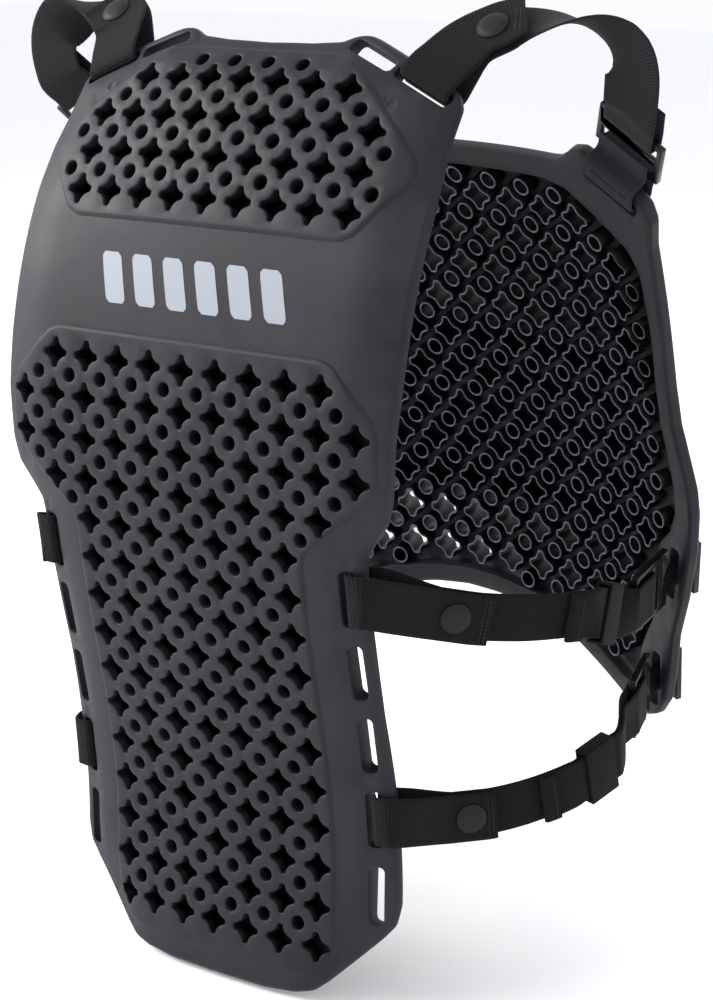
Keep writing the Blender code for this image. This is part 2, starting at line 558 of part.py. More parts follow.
def build_shoulder(tag, side):
    back_ring, chest_ring = whole(BACK_EDGE), whole(CHEST_EDGE)
    mirror = np.array([-side, 1, 1.0])
    place = lambda p: np.array(p) * mirror
    u, v, turn, _ = BACK_EAR_SLOTS[1]
    outer_w, inner_w = border_faces(BACK, back_ring, u, v - 3)
    s0, along, up, n0 = frame_at(BACK, -u, v, 0.0, -turn)
    along = along if along[0] < 0 else -along
    cu, cv, cturn = CHEST_EAR_SLOT
    co, ci = border_faces(CHEST, chest_ring, cu, cv - 4)
    c0, calong, cup, cn = frame_at(CHEST, -cu, cv, 0.0, -cturn)
    calong = calong if calong[0] < 0 else -calong
    run = [np.array(p) + (0, 0, LIFT) for p in SHOULDER_RUN]
    mid = c0 + cn * (co + ci) / 2
    half = (co - ci) / 2
    # ladder buckle above the chest ear
    top = cup
    ln = np.cross(top, calong)
    ln = ln if ln.dot(cn) > 0 else -ln
    origin = mid + top * 29.0 + ln * 4.5
    axes = [top * mirror, calong * mirror, ln * mirror]
    at = lambda x, n: origin + top * x + ln * n
    frame = box("ladder_buckle_" + tag, place(origin), axes, (-12.0, -19.5, -1.7), (12.0, 19.5, 1.7), ACETAL)
    for k, (lo, hi) in enumerate(((-8.8, -1.6), (1.6, 8.8))):
        cut(frame, box("ladder_window%d_%s" % (k, tag), place(origin), axes, (lo, -16.4, -4), (hi, 16.4, 4), hidden=True), "DIFFERENCE")
    outward(frame)
    # anchor webbing: down the inner side, through the ear slot, up the outer side and over the buckle's lower bar
    inside, outside = mid - cn * (half + 2.2), mid + cn * (half + 2.2)
    pts = [at(-1.5, -4.2), at(-12.0, -4.6), inside + cup * 14.0, inside + cup * 3.6, inside + cup * 1.2 + cn * 0.8, mid - cn * (half - 0.3), mid + cn * (half - 0.3), outside + cup * 1.2 - cn * 0.8, outside + cup * 3.6,
           outside + cup * 8.0, at(-13.2, 3.3), at(-9.6, 3.3), at(-7.9, 2.9), at(-7.3, 1.7), at(-7.3, -0.6)]
    path = smooth_path(pts, 5.0)
    ribbon("anchor_" + tag, place(path), square(path, np.array([calong] * len(path))) * mirror, SHOULDER_WEB_WIDE, WEB, RIB_WEB)
    # strap: out of the back slot, over the shoulder, under the buckle's upper bar and back as a short tail
    start, flap_start = slot_wrap(s0, n0, up, outer_w, inner_w, 10.0)
    hop = 3.4
    forward = smooth_path(start + run + [at(24, -hop - 0.6), at(16, -hop), at(12, -hop)], 6.0)
    wide = turned_wide(forward, [start[-1], *run, at(20, -hop)], [along, *SHOULDER_WIDE, calong])
    forward, wide, k_snap = straighten(forward, wide, 47.0, 9.0)
    normal = strip_along(forward, wide, n0)
    run_len = lengths(forward)
    bend = [at(8.8, -hop), at(7.8, -2.9), at(7.3, -1.7), at(7.3, 0), at(7.3, 1.7), at(7.8, 2.9), at(8.8, hop), at(12, hop), at(16, hop + 0.1), at(24, hop - 0.4), at(30, hop - 0.8)]
    whole_path = np.vstack([forward, bend])
    whole_wide = np.vstack([wide, [calong] * len(bend)])
    strap = ribbon("strap_" + tag, place(whole_path), square(whole_path, whole_wide) * mirror, SHOULDER_WEB_WIDE, WEB, BLACK_WEB)
    lifted = forward + normal * FLAP_LIFT
    k_end = int(np.argmin(np.abs(run_len - 64)))
    first = smooth_path(flap_start + [lifted[k_snap - 1]], 6.0)[:-1]
    flap_path = np.vstack([first, lifted[k_snap - 1 : k_end + 1]])
    fw = np.vstack([wide[nearest(forward, first)], wide[k_snap - 1 : k_end + 1]])
    fw[: len(first) + 1] = square(flap_path, fw)[: len(first) + 1]
    flap = ribbon("flap_" + tag, place(flap_path), fw * mirror, SHOULDER_WEB_WIDE, WEB, BLACK_WEB)
    snap_set(tag, place(forward[k_snap]), normal[k_snap] * mirror, flap, strap)
    print("SHOULDER", tag, "slot", place(s0).round(1), "along", (along * mirror).round(3), "up", (up * mirror).round(3), "n", (n0 * mirror).round(3), "w", round(outer_w, 2), round(inner_w, 2),
          "chest slot", place(mid).round(1), (calong * mirror).round(3), (cup * mirror).round(3), (cn * mirror).round(3), "buckle", place(origin).round(1), (top * mirror).round(3), (ln * mirror).round(3), "snap", place(forward[k_snap]).round(1), (normal[k_snap] * mirror).round(3))


for obj in list(bpy.data.objects):
    bpy.data.objects.remove(obj)
CUTTERS = bpy.data.collections.new("cutters")
bpy.context.scene.collection.children.link(CUTTERS)

back_slots = [(SIDE_SLOT_U, v, 90.0, SLOT_LONG) for v in SIDE_SLOT_V] + list(BACK_EAR_SLOTS)
build_panel("back_panel", BACK, BACK_EDGE, [BACK_UPPER, BACK_LOWER], back_slots, RUBBER)
chest_slots = [(u, v, 90.0 + t, 30.0) for u, v, t in CHEST_SIDE_SLOTS] + [(*CHEST_EAR_SLOT, EAR_SLOT_LONG)]
build_panel("chest_panel", CHEST, CHEST_EDGE, [CHEST_UPPER, CHEST_LOWER], chest_slots, RUBBER_CHEST)

# a plain comb of slanted bars printed on the smooth band
points, quads = [], []
for k in range(MARK_BARS):
    u = -MARK_LONG / 2 + k * MARK_LONG / (MARK_BARS - 0.45)
    wide = 0.55 * MARK_LONG / (MARK_BARS - 0.45)
    for a in (u, u + wide):
        points += [(a, MARK_V + MARK_TALL / 2), (a, MARK_V + MARK_TALL / 2 - 3.0), (a + MARK_SLANT, MARK_V - MARK_TALL / 2)]
    q = 6 * k
    quads += [(q, q + 1, q + 4, q + 3), (q + 1, q + 2, q + 5, q + 4)] + ([(q + 3, q + 4, q + 7, q + 6)] if k < MARK_BARS - 1 else [])
plate("printed_mark", points, quads, 0.3, 0.6, BACK, PRINT)

for tag, side in (("left", 1), ("right", -1)):
    build_shoulder("shoulder_" + tag, side)
    build_side("upper_" + tag, side, SIDE_SLOT_V[0], UPPER_RUN, CHEST_SIDE_SLOTS[0], 52.0, 68.0, 144.0, 141.0, 112.0)
    build_side("lower_" + tag, side, SIDE_SLOT_V[3], LOWER_RUN, CHEST_SIDE_SLOTS[1], 46.0, 60.0, 118.0, 118.0, 84.0)

for obj in bpy.data.objects:
    obj.data.transform(mathutils.Matrix.Translation([-c * MM for c in CROWN]))
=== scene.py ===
"""Torso protector: a perforated back panel and chest panel in moulded rubber, joined by elastic webbing straps.

The add-on's sidebar panel lists one operator for each group of pieces and one for the stage. Lengths inside the
functions are millimetres unless a name ends in _m. A panel point is (u, v, w): u across from the centre line, v down
the panel, and w out from the panel's outer reference face.
"""

import math

import bmesh
import bpy
import numpy as np
from mathutils import Matrix, Vector


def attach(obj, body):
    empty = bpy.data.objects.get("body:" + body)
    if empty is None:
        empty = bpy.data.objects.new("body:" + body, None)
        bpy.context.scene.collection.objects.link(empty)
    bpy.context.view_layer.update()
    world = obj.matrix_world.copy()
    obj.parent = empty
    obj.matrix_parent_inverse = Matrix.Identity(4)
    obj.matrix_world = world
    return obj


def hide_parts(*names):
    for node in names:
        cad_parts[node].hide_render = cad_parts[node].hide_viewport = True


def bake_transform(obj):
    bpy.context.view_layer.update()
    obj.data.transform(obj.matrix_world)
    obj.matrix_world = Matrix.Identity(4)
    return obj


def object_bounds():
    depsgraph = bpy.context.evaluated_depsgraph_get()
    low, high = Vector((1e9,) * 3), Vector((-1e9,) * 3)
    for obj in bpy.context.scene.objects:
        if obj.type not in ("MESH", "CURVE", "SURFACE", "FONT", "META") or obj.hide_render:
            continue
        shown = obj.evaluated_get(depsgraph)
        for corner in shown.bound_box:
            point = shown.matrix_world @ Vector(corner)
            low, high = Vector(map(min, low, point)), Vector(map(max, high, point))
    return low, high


bl_info = {
    "name": "Torso protector",
    "version": (1, 0, 0),
    "blender": (4, 5, 0),
    "location": "3D View > Sidebar > Protector",
    "description": "Builds a perforated torso protector with webbing straps around its CAD frame",
    "category": "Add Mesh",
}

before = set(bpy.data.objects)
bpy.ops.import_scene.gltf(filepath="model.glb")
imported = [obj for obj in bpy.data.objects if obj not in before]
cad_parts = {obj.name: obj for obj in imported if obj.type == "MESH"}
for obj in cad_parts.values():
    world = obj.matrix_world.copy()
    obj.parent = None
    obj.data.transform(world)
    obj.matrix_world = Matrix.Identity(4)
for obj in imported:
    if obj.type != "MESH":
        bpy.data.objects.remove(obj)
CAD_LOW, CAD_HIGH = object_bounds()

# The camera, the lean and bend of BACK, most points of BACK_EDGE and CHEST_EDGE and the first form of SHOULDER_RUN
# are rounded results of fits and mappings made by other programs.
CAMERA_AT = (-0.7504, 0.97096, 0.06245)
CAMERA_AXES = ((-0.801, -0.599, 0.0), (0.144, -0.192, 0.971), (-0.582, 0.777, 0.24))
SENSOR_WIDE, LENS = 36.0, 90.83

MM = 0.001
SHIFT = np.array([0.0, 104.0, -179.0])  # from the panels' own drawing to the row frame
ZONE_RAISE, SKIN, TUBE_WALL = 1.3, 3.5, 1.05
WEB, FLAP_LIFT, TAIL_LIFT = 1.6, 4.7, 2.3
MARK_BARS, BAR_PITCH, BAR_TALL = 6, 19.2, 24.0
SIDE_WEB_WIDE, SHOULDER_WEB_WIDE = 25.0, 30.0
SLOT_WIDE, SLOT_ROUND = 7.2, 2.4
SIDE_SLOT_U = 90.5
SIDE_SLOT_V = (237.5, 275.5, 313.5, 351.5, 389.5)
BACK_EAR_SLOTS = ((62.5, -20.5, 22.0, 28.0), (94.0, -8.0, 22.0, 34.0))
EJECTOR_SPOTS = ((84.0, 5.0), (92.0, 219.0), (88.0, 332.5), (72.0, 424.0))  # round witness marks of the mould
CHEST_EAR_SLOT = (154.0, -119.0, 27.0)
CHEST_SIDE_SLOTS = ((165.5, 98.0, 12.0), (147.5, 164.0, 6.0))

# panel faces: lean of the centre line at stations down the panel, and curvature across it
BACK = {"origin": (0.0, 0.0), "zero": 160.0, "lean_v": (-60, 20, 100, 180, 260, 340, 460),
        "lean": (-36.0, -30.5, -12.8, -0.7, 10.3, 7.0, -21.7), "side": 1,
        "bend_v": (0, 160, 280, 420), "bend": (1.87, 0.34, 1.02, 1.98), "flare": -15e-9, "thick": 13.0, "edge": 6.5}
CHEST = {"origin": (-215.0, 10.0), "zero": 0.0, "lean_v": (-120, 0, 120, 240),
         "lean": (-30.0, -20.0, -10.0, -8.0), "side": -1,
         "bend_v": (-120, 0, 120, 240), "bend": (2.0, 2.5, 3.0, 3.5), "flare": 0.0, "thick": 12.0, "edge": 6.5}

# half outlines, from the centre line round to the centre line
BACK_EDGE = [(0, -24.5), (26, -25.5), (42, -27.5), (47.5, -30.5), (52, -32), (57, -32), (62, -30.5), (77, -24.5),
             (106, -11.5), (112, -8), (115, -2), (115.5, 20), (117.5, 36), (118.5, 60), (118, 110), (117.5, 134),
             (116, 165), (115, 187), (112, 199), (104, 210), (99.5, 217), (98.5, 225), (98, 300), (100, 345),
             (101, 394), (98.5, 404), (92, 411), (64, 437), (57, 442.5), (48, 445), (30, 446.8), (0, 447)]
BACK_UPPER = [(0, -18.5), (44, -19.5), (54, -17.5), (61, -12.5), (104, 28), (108, 36), (106, 44), (86, 70),
              (78, 73.5), (0, 73.5)]
BACK_LOWER = [(0, 125.8), (79, 126), (86, 128.5), (108, 151), (110.5, 158), (110.5, 180), (107, 187), (97, 196),
              (76, 212), (71, 218), (69.5, 226), (69.5, 415), (66, 424), (59, 433.5), (52, 436.5), (44, 437.5),
              (0, 437.7)]
CHEST_EDGE = [(0, -121), (60, -124), (112, -127), (119, -128), (126, -132), (132, -137), (139, -138.5),
              (146, -135.5), (170, -123), (177, -117.5), (179, -108), (175, -92), (174, -60), (172, -10), (173, 12),
              (178, 30), (183, 46), (184, 60), (181, 84), (173, 112), (164, 136), (160, 160), (156, 174),
              (148, 184), (138, 188), (124, 187), (98, 174), (78, 164), (50, 155), (22, 150), (0, 148.5)]
CHEST_UPPER = [(0, -110), (108, -112), (122, -108), (146, -86), (152, -72), (152, -20), (144, -8), (134, -6),
               (0, -6)]
CHEST_LOWER = [(0, 74), (120, 74), (136, 82), (148, 98), (150, 112), (142, 134), (136, 156), (128, 170),
               (116, 172), (84, 156), (40, 141), (0, 138)]
BACK_POCKETS = [[(0, -14), (44, -15), (58, -9), (100, 30), (102, 37), (101, 43), (83, 67), (77, 70), (0, 70)],
                [(0, 130), (78, 130), (84, 133), (104, 153), (106, 159), (106, 179), (103, 184), (93, 192),
                 (72, 208), (67, 216), (65.5, 226), (65.5, 414), (62, 422), (56, 430), (44, 433), (0, 433)]]
CHEST_POCKETS = [[(0, -110), (60, -112), (106, -114), (120, -111), (140, -97), (156, -86), (162, -74), (163, -40),
                  (161, -8), (162, 14), (166, 32), (169, 48), (169, 62), (164, 74), (154, 84), (151, 112),
                  (146, 130), (138, 143), (134, 152), (132, 166), (126, 174), (118, 173), (98, 163), (78, 153),
                  (50, 144), (22, 139.5), (0, 138)]]

# strap centre lines on the wearer's right, from the back slot to the chest, and the shoulder strap's width direction
SHOULDER_RUN = [(-102.0, -84.0, 166.0), (-113.0, -91.5, 173.5), (-125.0, -98.0, 177.5), (-139.0, -104.0, 179.0),
                (-154.0, -108.5, 176.5), (-166.0, -108.5, 170.5), (-174.0, -106.0, 161.0)]
SHOULDER_WIDE = [(-0.95, 0.15, -0.3), (-0.95, 0.2, -0.25), (-0.93, 0.32, -0.22), (-0.72, 0.66, -0.15),
                 (-0.6, 0.77, 0.2), (-0.8, 0.5, 0.3), (-0.97, 0.1, 0.1)]
SIDE_RUNS = {"upper": [(-113.0, -48.0, -87.0), (-137.0, -83.0, -94.0), (-154.0, -120.0, -97.0)],
             "lower": [(-111.0, -66.0, -192.5), (-131.0, -92.0, -190.0), (-147.0, -122.0, -182.5),
                       (-151.5, -146.0, -175.0)]}
SIDES = (("left", 1), ("right", -1))
SHOULDER_TAGS = ["shoulder_" + t for t, _ in SIDES]
SIDE_TAGS = ["%s_%s" % (k, t) for k in ("upper", "lower") for t, _ in SIDES]


# ---------------------------------------------------------------------------------------- sizes and colours
def linear(code):
    """sRGB hex to linear colour with alpha."""
    values = [int(code.lstrip("#")[k : k + 2], 16) / 255 for k in (0, 2, 4)]
    return [v / 12.92 if v <= 0.04045 else ((v + 0.055) / 1.055) ** 2.4 for v in values] + [1.0]


def colour(name, text, code):
    return bpy.props.FloatVectorProperty(name=name, description=text, subtype="COLOR", size=4, min=0, max=1,
                                         default=linear(code))


class ProtectorPanelSettings(bpy.types.PropertyGroup):
    """Sizes and colour of the moulded panels."""

    star_reach: bpy.props.FloatProperty(name="Star reach", description="Centre to arm tip of a four-armed hole",
                                        default=0.0073, unit="LENGTH")
    circle_radius: bpy.props.FloatProperty(name="Round hole radius", description="Radius of a round hole",
                                           default=0.0035, unit="LENGTH")
    rim: bpy.props.FloatProperty(name="Rim", description="Rounding of the holes' outer edges", default=0.0009,
                                 unit="LENGTH")
    rubber: colour("Rubber", "Moulded rubber of both panels", "#1A1A20")
    # painted shade: the same rubber, almost black, for the recesses, the tube walls and the holes' walls
    rubber_painted_shade: colour("Recess", "Rubber in the recesses between the tubes", "#060607")
    print_grey: colour("Print", "Printed mark", "#858B94")


class ProtectorStrapSettings(bpy.types.PropertyGroup):
    """Colours of the webbing and its fittings."""

    webbing: colour("Webbing", "Elastic webbing", "#111113")
    ribbed: colour("Anchor webbing", "Ribbed webbing at the chest ears", "#232328")
    thread: colour("Thread", "Bonded sewing thread", "#0D0D0F")
    plastic: colour("Buckles", "Acetal of the buckles", "#0C0C0E")
    cap: colour("Snap caps", "Matt enamel of the snap caps", "#131213")
    steel: colour("Snap steel", "Blackened steel of the snaps", "#2C2C30")


class ProtectorStageSettings(bpy.types.PropertyGroup):
    """Floor and light."""

    floor: colour("Floor", "Studio floor", "#FBFBFC")
    key_power: bpy.props.FloatProperty(name="Key power", description="Power of the key light in watts", default=34.0)


# ---------------------------------------------------------------------------------------- panel surface
def spline(x, y, at):
    """Natural cubic through (x, y)."""
    x, y = np.array(x, float), np.array(y, float)
    n, h = len(x), np.diff(x)
    a, b = np.eye(n), np.zeros(n)
    for i in range(1, n - 1):
        a[i, i - 1 : i + 2] = h[i - 1], 2 * (h[i - 1] + h[i]), h[i]
        b[i] = 6 * ((y[i + 1] - y[i]) / h[i] - (y[i] - y[i - 1]) / h[i - 1])
    m = np.linalg.solve(a, b)
    at = np.clip(at, x[0], x[-1])
    k = np.clip(np.searchsorted(x, at) - 1, 0, n - 2)
    p, q = x[k + 1] - at, at - x[k]
    return ((m[k] * p**3 + m[k + 1] * q**3) / (6 * h[k]) + (y[k] / h[k] - m[k] * h[k] / 6) * p
            + (y[k + 1] / h[k] - m[k + 1] * h[k] / 6) * q)


def face(panel, u, v, w):
    """Row-frame millimetres of panel points."""
    u, v, w = (np.atleast_1d(np.array(t, float)) for t in (u, v, w))
    s = np.arange(-260.0, 560.0, 1.0)
    t = np.radians(spline(panel["lean_v"], panel["lean"], s))
    side = panel["side"]
    dy, dz = -side * np.sin(t), -np.cos(t)
    y = np.concatenate([[0], np.cumsum((dy[1:] + dy[:-1]) / 2)])
    z = np.concatenate([[0], np.cumsum((dz[1:] + dz[:-1]) / 2)])
    zero = np.searchsorted(s, panel["zero"])
    y0, z0 = panel["origin"]
    tt = np.interp(v, s, t)
    k = np.interp(v, panel["bend_v"], panel["bend"]) / 1000
    a = k * u
    x = np.sin(a) / k - w * -np.sin(a)
    sag = (1 - np.cos(a)) / k + panel["flare"] * u**4 - w * np.cos(a)
    yy = y0 + np.interp(v, s, y - y[zero]) - side * sag * np.cos(tt)
    zz = z0 + np.interp(v, s, z - z[zero]) + sag * np.sin(tt)
    return np.stack([x, yy, zz], axis=-1) + SHIFT


def frame_at(panel, u, v, w=0.0, turn=0.0):
    """Point, direction along a slot turned by turn degrees, direction up across it, and outward normal."""
    p = face(panel, u, v, w)[0]
    du = face(panel, u + 1, v, w)[0] - p
    dv = face(panel, u, v + 1, w)[0] - p
    n = face(panel, u, v, w + 1)[0] - p
    c, s = math.cos(math.radians(turn)), math.sin(math.radians(turn))
    along = du / np.linalg.norm(du) * c + dv / np.linalg.norm(dv) * s
    n = n / np.linalg.norm(n)
    along -= n * along.dot(n)
    along /= np.linalg.norm(along)
    up = np.cross(n, along)
    return p, along, up if up[2] > 0 else -up, n


def edge_distance(points, outline):
    ring = np.array(outline, float)
    best = np.full(len(points), 1e9)
    for p, q in zip(ring, np.roll(ring, -1, axis=0)):
        d = q - p
        f = np.clip(((points - p) @ d) / max(d @ d, 1e-9), 0, 1)
        best = np.minimum(best, np.linalg.norm(points - (p + f[:, None] * d), axis=1))
    return best


def edge_fall(panel, near):
    return (panel["thick"] - panel["edge"]) * (1 - np.clip(near / 25.0, 0, 1)) ** 1.3


def border_faces(panel, outline, u, v):
    """w of the outer face and of the inner face at a border point."""
    return -float(edge_fall(panel, edge_distance(np.array([[u, v]]), outline)[0])), -panel["thick"]


def whole(half):
    """A closed outline from its half, centre line to centre line."""
    return list(half) + [(-u, v) for u, v in reversed(half) if abs(u) > 1e-6]


def soft_ring(half, step=6.0):
    """The whole outline cut into short edges with every corner eased once."""
    ring = np.array(whole(half), float)
    points = []
    for p, q in zip(ring, np.roll(ring, -1, axis=0)):
        n = max(1, int(math.ceil(np.linalg.norm(q - p) / step)))
        points += [p + (q - p) * k / n for k in range(n)]
    points = np.array(points)
    after = np.roll(points, -1, axis=0)
    return np.stack([points * 0.75 + after * 0.25, points * 0.25 + after * 0.75], axis=1).reshape(-1, 2)


def inside(points, outline):
    ring = np.array(outline, float)
    found = np.zeros(len(points), bool)
    for (a, b), (c, d) in zip(ring, np.roll(ring, -1, axis=0)):
        crosses = (b > points[:, 1]) != (d > points[:, 1])
        with np.errstate(divide="ignore", invalid="ignore"):
            found ^= crosses & (points[:, 0] < (c - a) * (points[:, 1] - b) / (d - b) + a)
    return found


# ---------------------------------------------------------------------------------------- modelling helpers
def select_only(obj):
    bpy.ops.object.select_all(action="DESELECT")
    obj.select_set(True)
    bpy.context.view_layer.objects.active = obj


def apply_modifier(obj, kind, **settings):
    select_only(obj)
    modifier = obj.modifiers.new(kind.lower(), kind)
    for key, value in settings.items():
        setattr(modifier, key, value)
    bpy.ops.object.modifier_apply(modifier=modifier.name)


def mesh_object(name, verts, faces):
    mesh = bpy.data.meshes.new(name)
    mesh.from_pydata([tuple(map(float, v)) for v in verts], [], faces)
    mesh.update()
    obj = bpy.data.objects.new(name, mesh)
    bpy.context.scene.collection.objects.link(obj)
    return obj


def coordinates(obj):
    co = np.empty(len(obj.data.vertices) * 3)
    obj.data.vertices.foreach_get("co", co)
    return co.reshape(-1, 3)


def place_points(obj, co):
    obj.data.vertices.foreach_set("co", np.asarray(co, float).ravel())
    obj.data.update()


def faces_outward(obj):
    select_only(obj)
    bpy.ops.object.mode_set(mode="EDIT")
    bpy.ops.mesh.select_all(action="SELECT")
    bpy.ops.mesh.remove_doubles(threshold=1e-7)
    bpy.ops.mesh.normals_make_consistent(inside=False)
    bpy.ops.object.mode_set(mode="OBJECT")


def smooth(obj, angle=35):
    select_only(obj)
    bpy.ops.object.shade_smooth_by_angle(angle=math.radians(angle))


def grid(name, low, high, step):
    """A flat grid between two corners, in millimetres."""
    nx, ny = (max(1, int(round((high[k] - low[k]) / step))) for k in (0, 1))
    bpy.ops.mesh.primitive_grid_add(x_subdivisions=nx, y_subdivisions=ny, size=1)
    obj = bpy.context.object
    obj.name = name
    co = coordinates(obj)
    for k in (0, 1):
        co[:, k] = low[k] + (co[:, k] + 0.5) * (high[k] - low[k])
    place_points(obj, co)
    return obj


def slab(name, outline, low, high, step):
    ring = np.array(outline, float)
    obj = grid(name, ring.min(0) - 6.3, ring.max(0) + 6.1, step)
    co = coordinates(obj)
    co[:, 2] = high
    place_points(obj, co)
    apply_modifier(obj, "SOLIDIFY", thickness=high - low, offset=-1.0)
    return obj


def stacked(name, rings):
    """A closed solid through rings of equal length, each an (n, 3) array, with flat ends."""
    n = len(rings[0])
    verts = np.vstack(rings)
    faces = [tuple(range(n - 1, -1, -1)), tuple(range(len(verts) - n, len(verts)))]
    for k in range(len(rings) - 1):
        q = k * n
        faces += [(q + i, q + (i + 1) % n, q + n + (i + 1) % n, q + n + i) for i in range(n)]
    return mesh_object(name, verts, faces)


def offset_ring(ring, by):
    """The outline moved out by a distance, point by point."""
    ring = np.array(ring, float)
    a = ring - np.roll(ring, 1, axis=0)
    b = np.roll(ring, -1, axis=0) - ring
    a /= np.linalg.norm(a, axis=1)[:, None]
    b /= np.linalg.norm(b, axis=1)[:, None]
    area = np.sum(ring[:, 0] * np.roll(ring[:, 1], -1) - np.roll(ring[:, 0], -1) * ring[:, 1])
    normal = a + b
    normal = np.stack([normal[:, 1], -normal[:, 0]], axis=1) * np.sign(area)
    normal /= np.linalg.norm(normal, axis=1)[:, None]
    spread = np.clip(1 / np.sqrt(np.clip((1 + np.sum(a * b, axis=1)) / 2, 0.2, 1)), 1, 1.6)
    return ring + normal * (by * spread)[:, None]


def at_height(ring, w):
    return np.column_stack([ring, np.full(len(ring), float(w))])


def cut(obj, tool, how="DIFFERENCE"):
    faces_outward(tool)
    apply_modifier(obj, "BOOLEAN", operation=how, solver="EXACT", object=tool)
    bpy.data.objects.remove(tool)


def joined(name, objects):
    bpy.ops.object.select_all(action="DESELECT")
    for obj in objects:
        obj.select_set(True)
    bpy.context.view_layer.objects.active = objects[0]
    bpy.ops.object.join()
    objects[0].name = name
    return objects[0]


# ---------------------------------------------------------------------------------------- finishes
def node(tree, kind, settings=None, **links):
    """Adds a shader node, sets its properties and inputs, and links other nodes' outputs to its inputs."""
    made = tree.nodes.new("ShaderNode" + kind)
    for key, value in (settings or {}).items():
        if isinstance(key, int) or key in made.inputs:
            made.inputs[key].default_value = value
        else:
            setattr(made, key, value)
    for key, source in links.items():
        spot = made.inputs[int(key[1:])] if key[0] == "i" and key[1:].isdigit() else made.inputs[key.replace("_", " ")]
        tree.links.new(source, spot)
    return made


def finish_base(name, tint, roughness, metallic=0.0, **more):
    material = bpy.data.materials.new(name)
    material.use_nodes = True
    tree = material.node_tree
    shader = tree.nodes["Principled BSDF"]
    shader.inputs["Base Color"].default_value = tint
    shader.inputs["Roughness"].default_value = roughness
    shader.inputs["Metallic"].default_value = metallic
    for key, value in more.items():
        shader.inputs[key.replace("_", " ")].default_value = value
    return material, tree, shader


def shade(c, k):
    return [min(1.0, x * k) for x in c[:3]] + [1.0]


def rubber_finish(name, tint, cloud=0.34, rough=0.5, gloss=0.27):
    """Moulded thermoplastic rubber: a soft satin with flow marks about 40 mm wide and a fine grain."""
    material, tree, shader = finish_base(name, tint, rough, Specular_IOR_Level=gloss)
    spot = node(tree, "TexCoord").outputs["Object"]
    clouds = node(tree, "TexNoise", {"Scale": 26.0, "Detail": 5.0, "Roughness": 0.62, "Distortion": 0.7},
                  Vector=spot).outputs["Fac"]
    blotch = node(tree, "ValToRGB", Fac=clouds)
    blotch.color_ramp.elements[0].position, blotch.color_ramp.elements[1].position = 0.32, 0.7
    blotch.color_ramp.elements[0].color = shade(tint, 1 - cloud)
    blotch.color_ramp.elements[1].color = shade(tint, 1 + cloud * 1.5)
    grain = node(tree, "TexNoise", {"Scale": 1500.0, "Detail": 2.0}, Vector=spot).outputs["Fac"]
    fleck = node(tree, "TexNoise", {"Scale": 400.0, "Detail": 3.0}, Vector=spot).outputs["Color"]
    tone = node(tree, "Mix", {"data_type": "RGBA", "blend_type": "OVERLAY", 0: 0.05}, i6=blotch.outputs[0], i7=fleck)
    tree.links.new(tone.outputs[2], shader.inputs["Base Color"])
    patch = node(tree, "MapRange", {"To Min": rough - 0.12, "To Max": rough + 0.2}, Value=clouds)
    tree.links.new(patch.outputs[0], shader.inputs["Roughness"])
    bump = node(tree, "Bump", {"Strength": 0.16, "Distance": 0.0002}, Height=grain)
    tree.links.new(bump.outputs[0], shader.inputs["Normal"])
    return material


def webbing_finish(name, tint, rib=1.0, across=1.35, twill=0.45, depth=0.55):
    """Woven polyester tape: picks rib apart along it and ends across apart, in the millimetres of its UV map."""
    material, tree, shader = finish_base(name, tint, 0.88, Sheen_Weight=0.05, Sheen_Roughness=0.45,
                                         Specular_IOR_Level=0.12)
    uv = node(tree, "UVMap", {"uv_map": "weave"}).outputs[0]
    split = node(tree, "SeparateXYZ", Vector=uv)
    warp = node(tree, "Math", {"operation": "MULTIPLY_ADD", 1: 2 * math.pi / across}, i0=split.outputs[0])
    tree.links.new(node(tree, "Math", {"operation": "MULTIPLY", 1: twill * 2 * math.pi / rib},
                        i0=split.outputs[1]).outputs[0], warp.inputs[2])
    weft = node(tree, "Math", {"operation": "MULTIPLY", 1: 2 * math.pi / rib}, i0=split.outputs[1])
    a = node(tree, "Math", {"operation": "SINE"}, i0=warp.outputs[0])
    b = node(tree, "Math", {"operation": "SINE"}, i0=weft.outputs[0])
    knit = node(tree, "Math", {"operation": "MULTIPLY"}, i0=a.outputs[0], i1=b.outputs[0])
    fibre = node(tree, "TexNoise", {"Scale": 3.2, "Detail": 4.0, "Roughness": 0.7}, Vector=uv)
    height = node(tree, "Math", {"operation": "MULTIPLY_ADD", 1: 0.35}, i0=knit.outputs[0])
    tree.links.new(node(tree, "Math", {"operation": "MULTIPLY_ADD", 1: 0.45, 2: 0.4}, i0=b.outputs[0]).outputs[0],
                   height.inputs[2])
    top = node(tree, "Math", {"operation": "MULTIPLY_ADD", 1: 0.5}, i0=fibre.outputs["Fac"])
    tree.links.new(height.outputs[0], top.inputs[2])
    # colour follows the bump height: darker in the weave's hollows as painted shade, lighter on its tops as painted
    # highlight, with fibre noise
    ramp = node(tree, "ValToRGB", Fac=top.outputs[0])
    ramp.color_ramp.elements[0].color, ramp.color_ramp.elements[1].color = shade(tint, 0.55), shade(tint, 1.5)
    ramp.color_ramp.elements[0].position, ramp.color_ramp.elements[1].position = 0.1, 1.0
    tree.links.new(ramp.outputs[0], shader.inputs["Base Color"])
    bump = node(tree, "Bump", {"Strength": depth, "Distance": 0.00035}, Height=top.outputs[0])
    tree.links.new(bump.outputs[0], shader.inputs["Normal"])
    return material


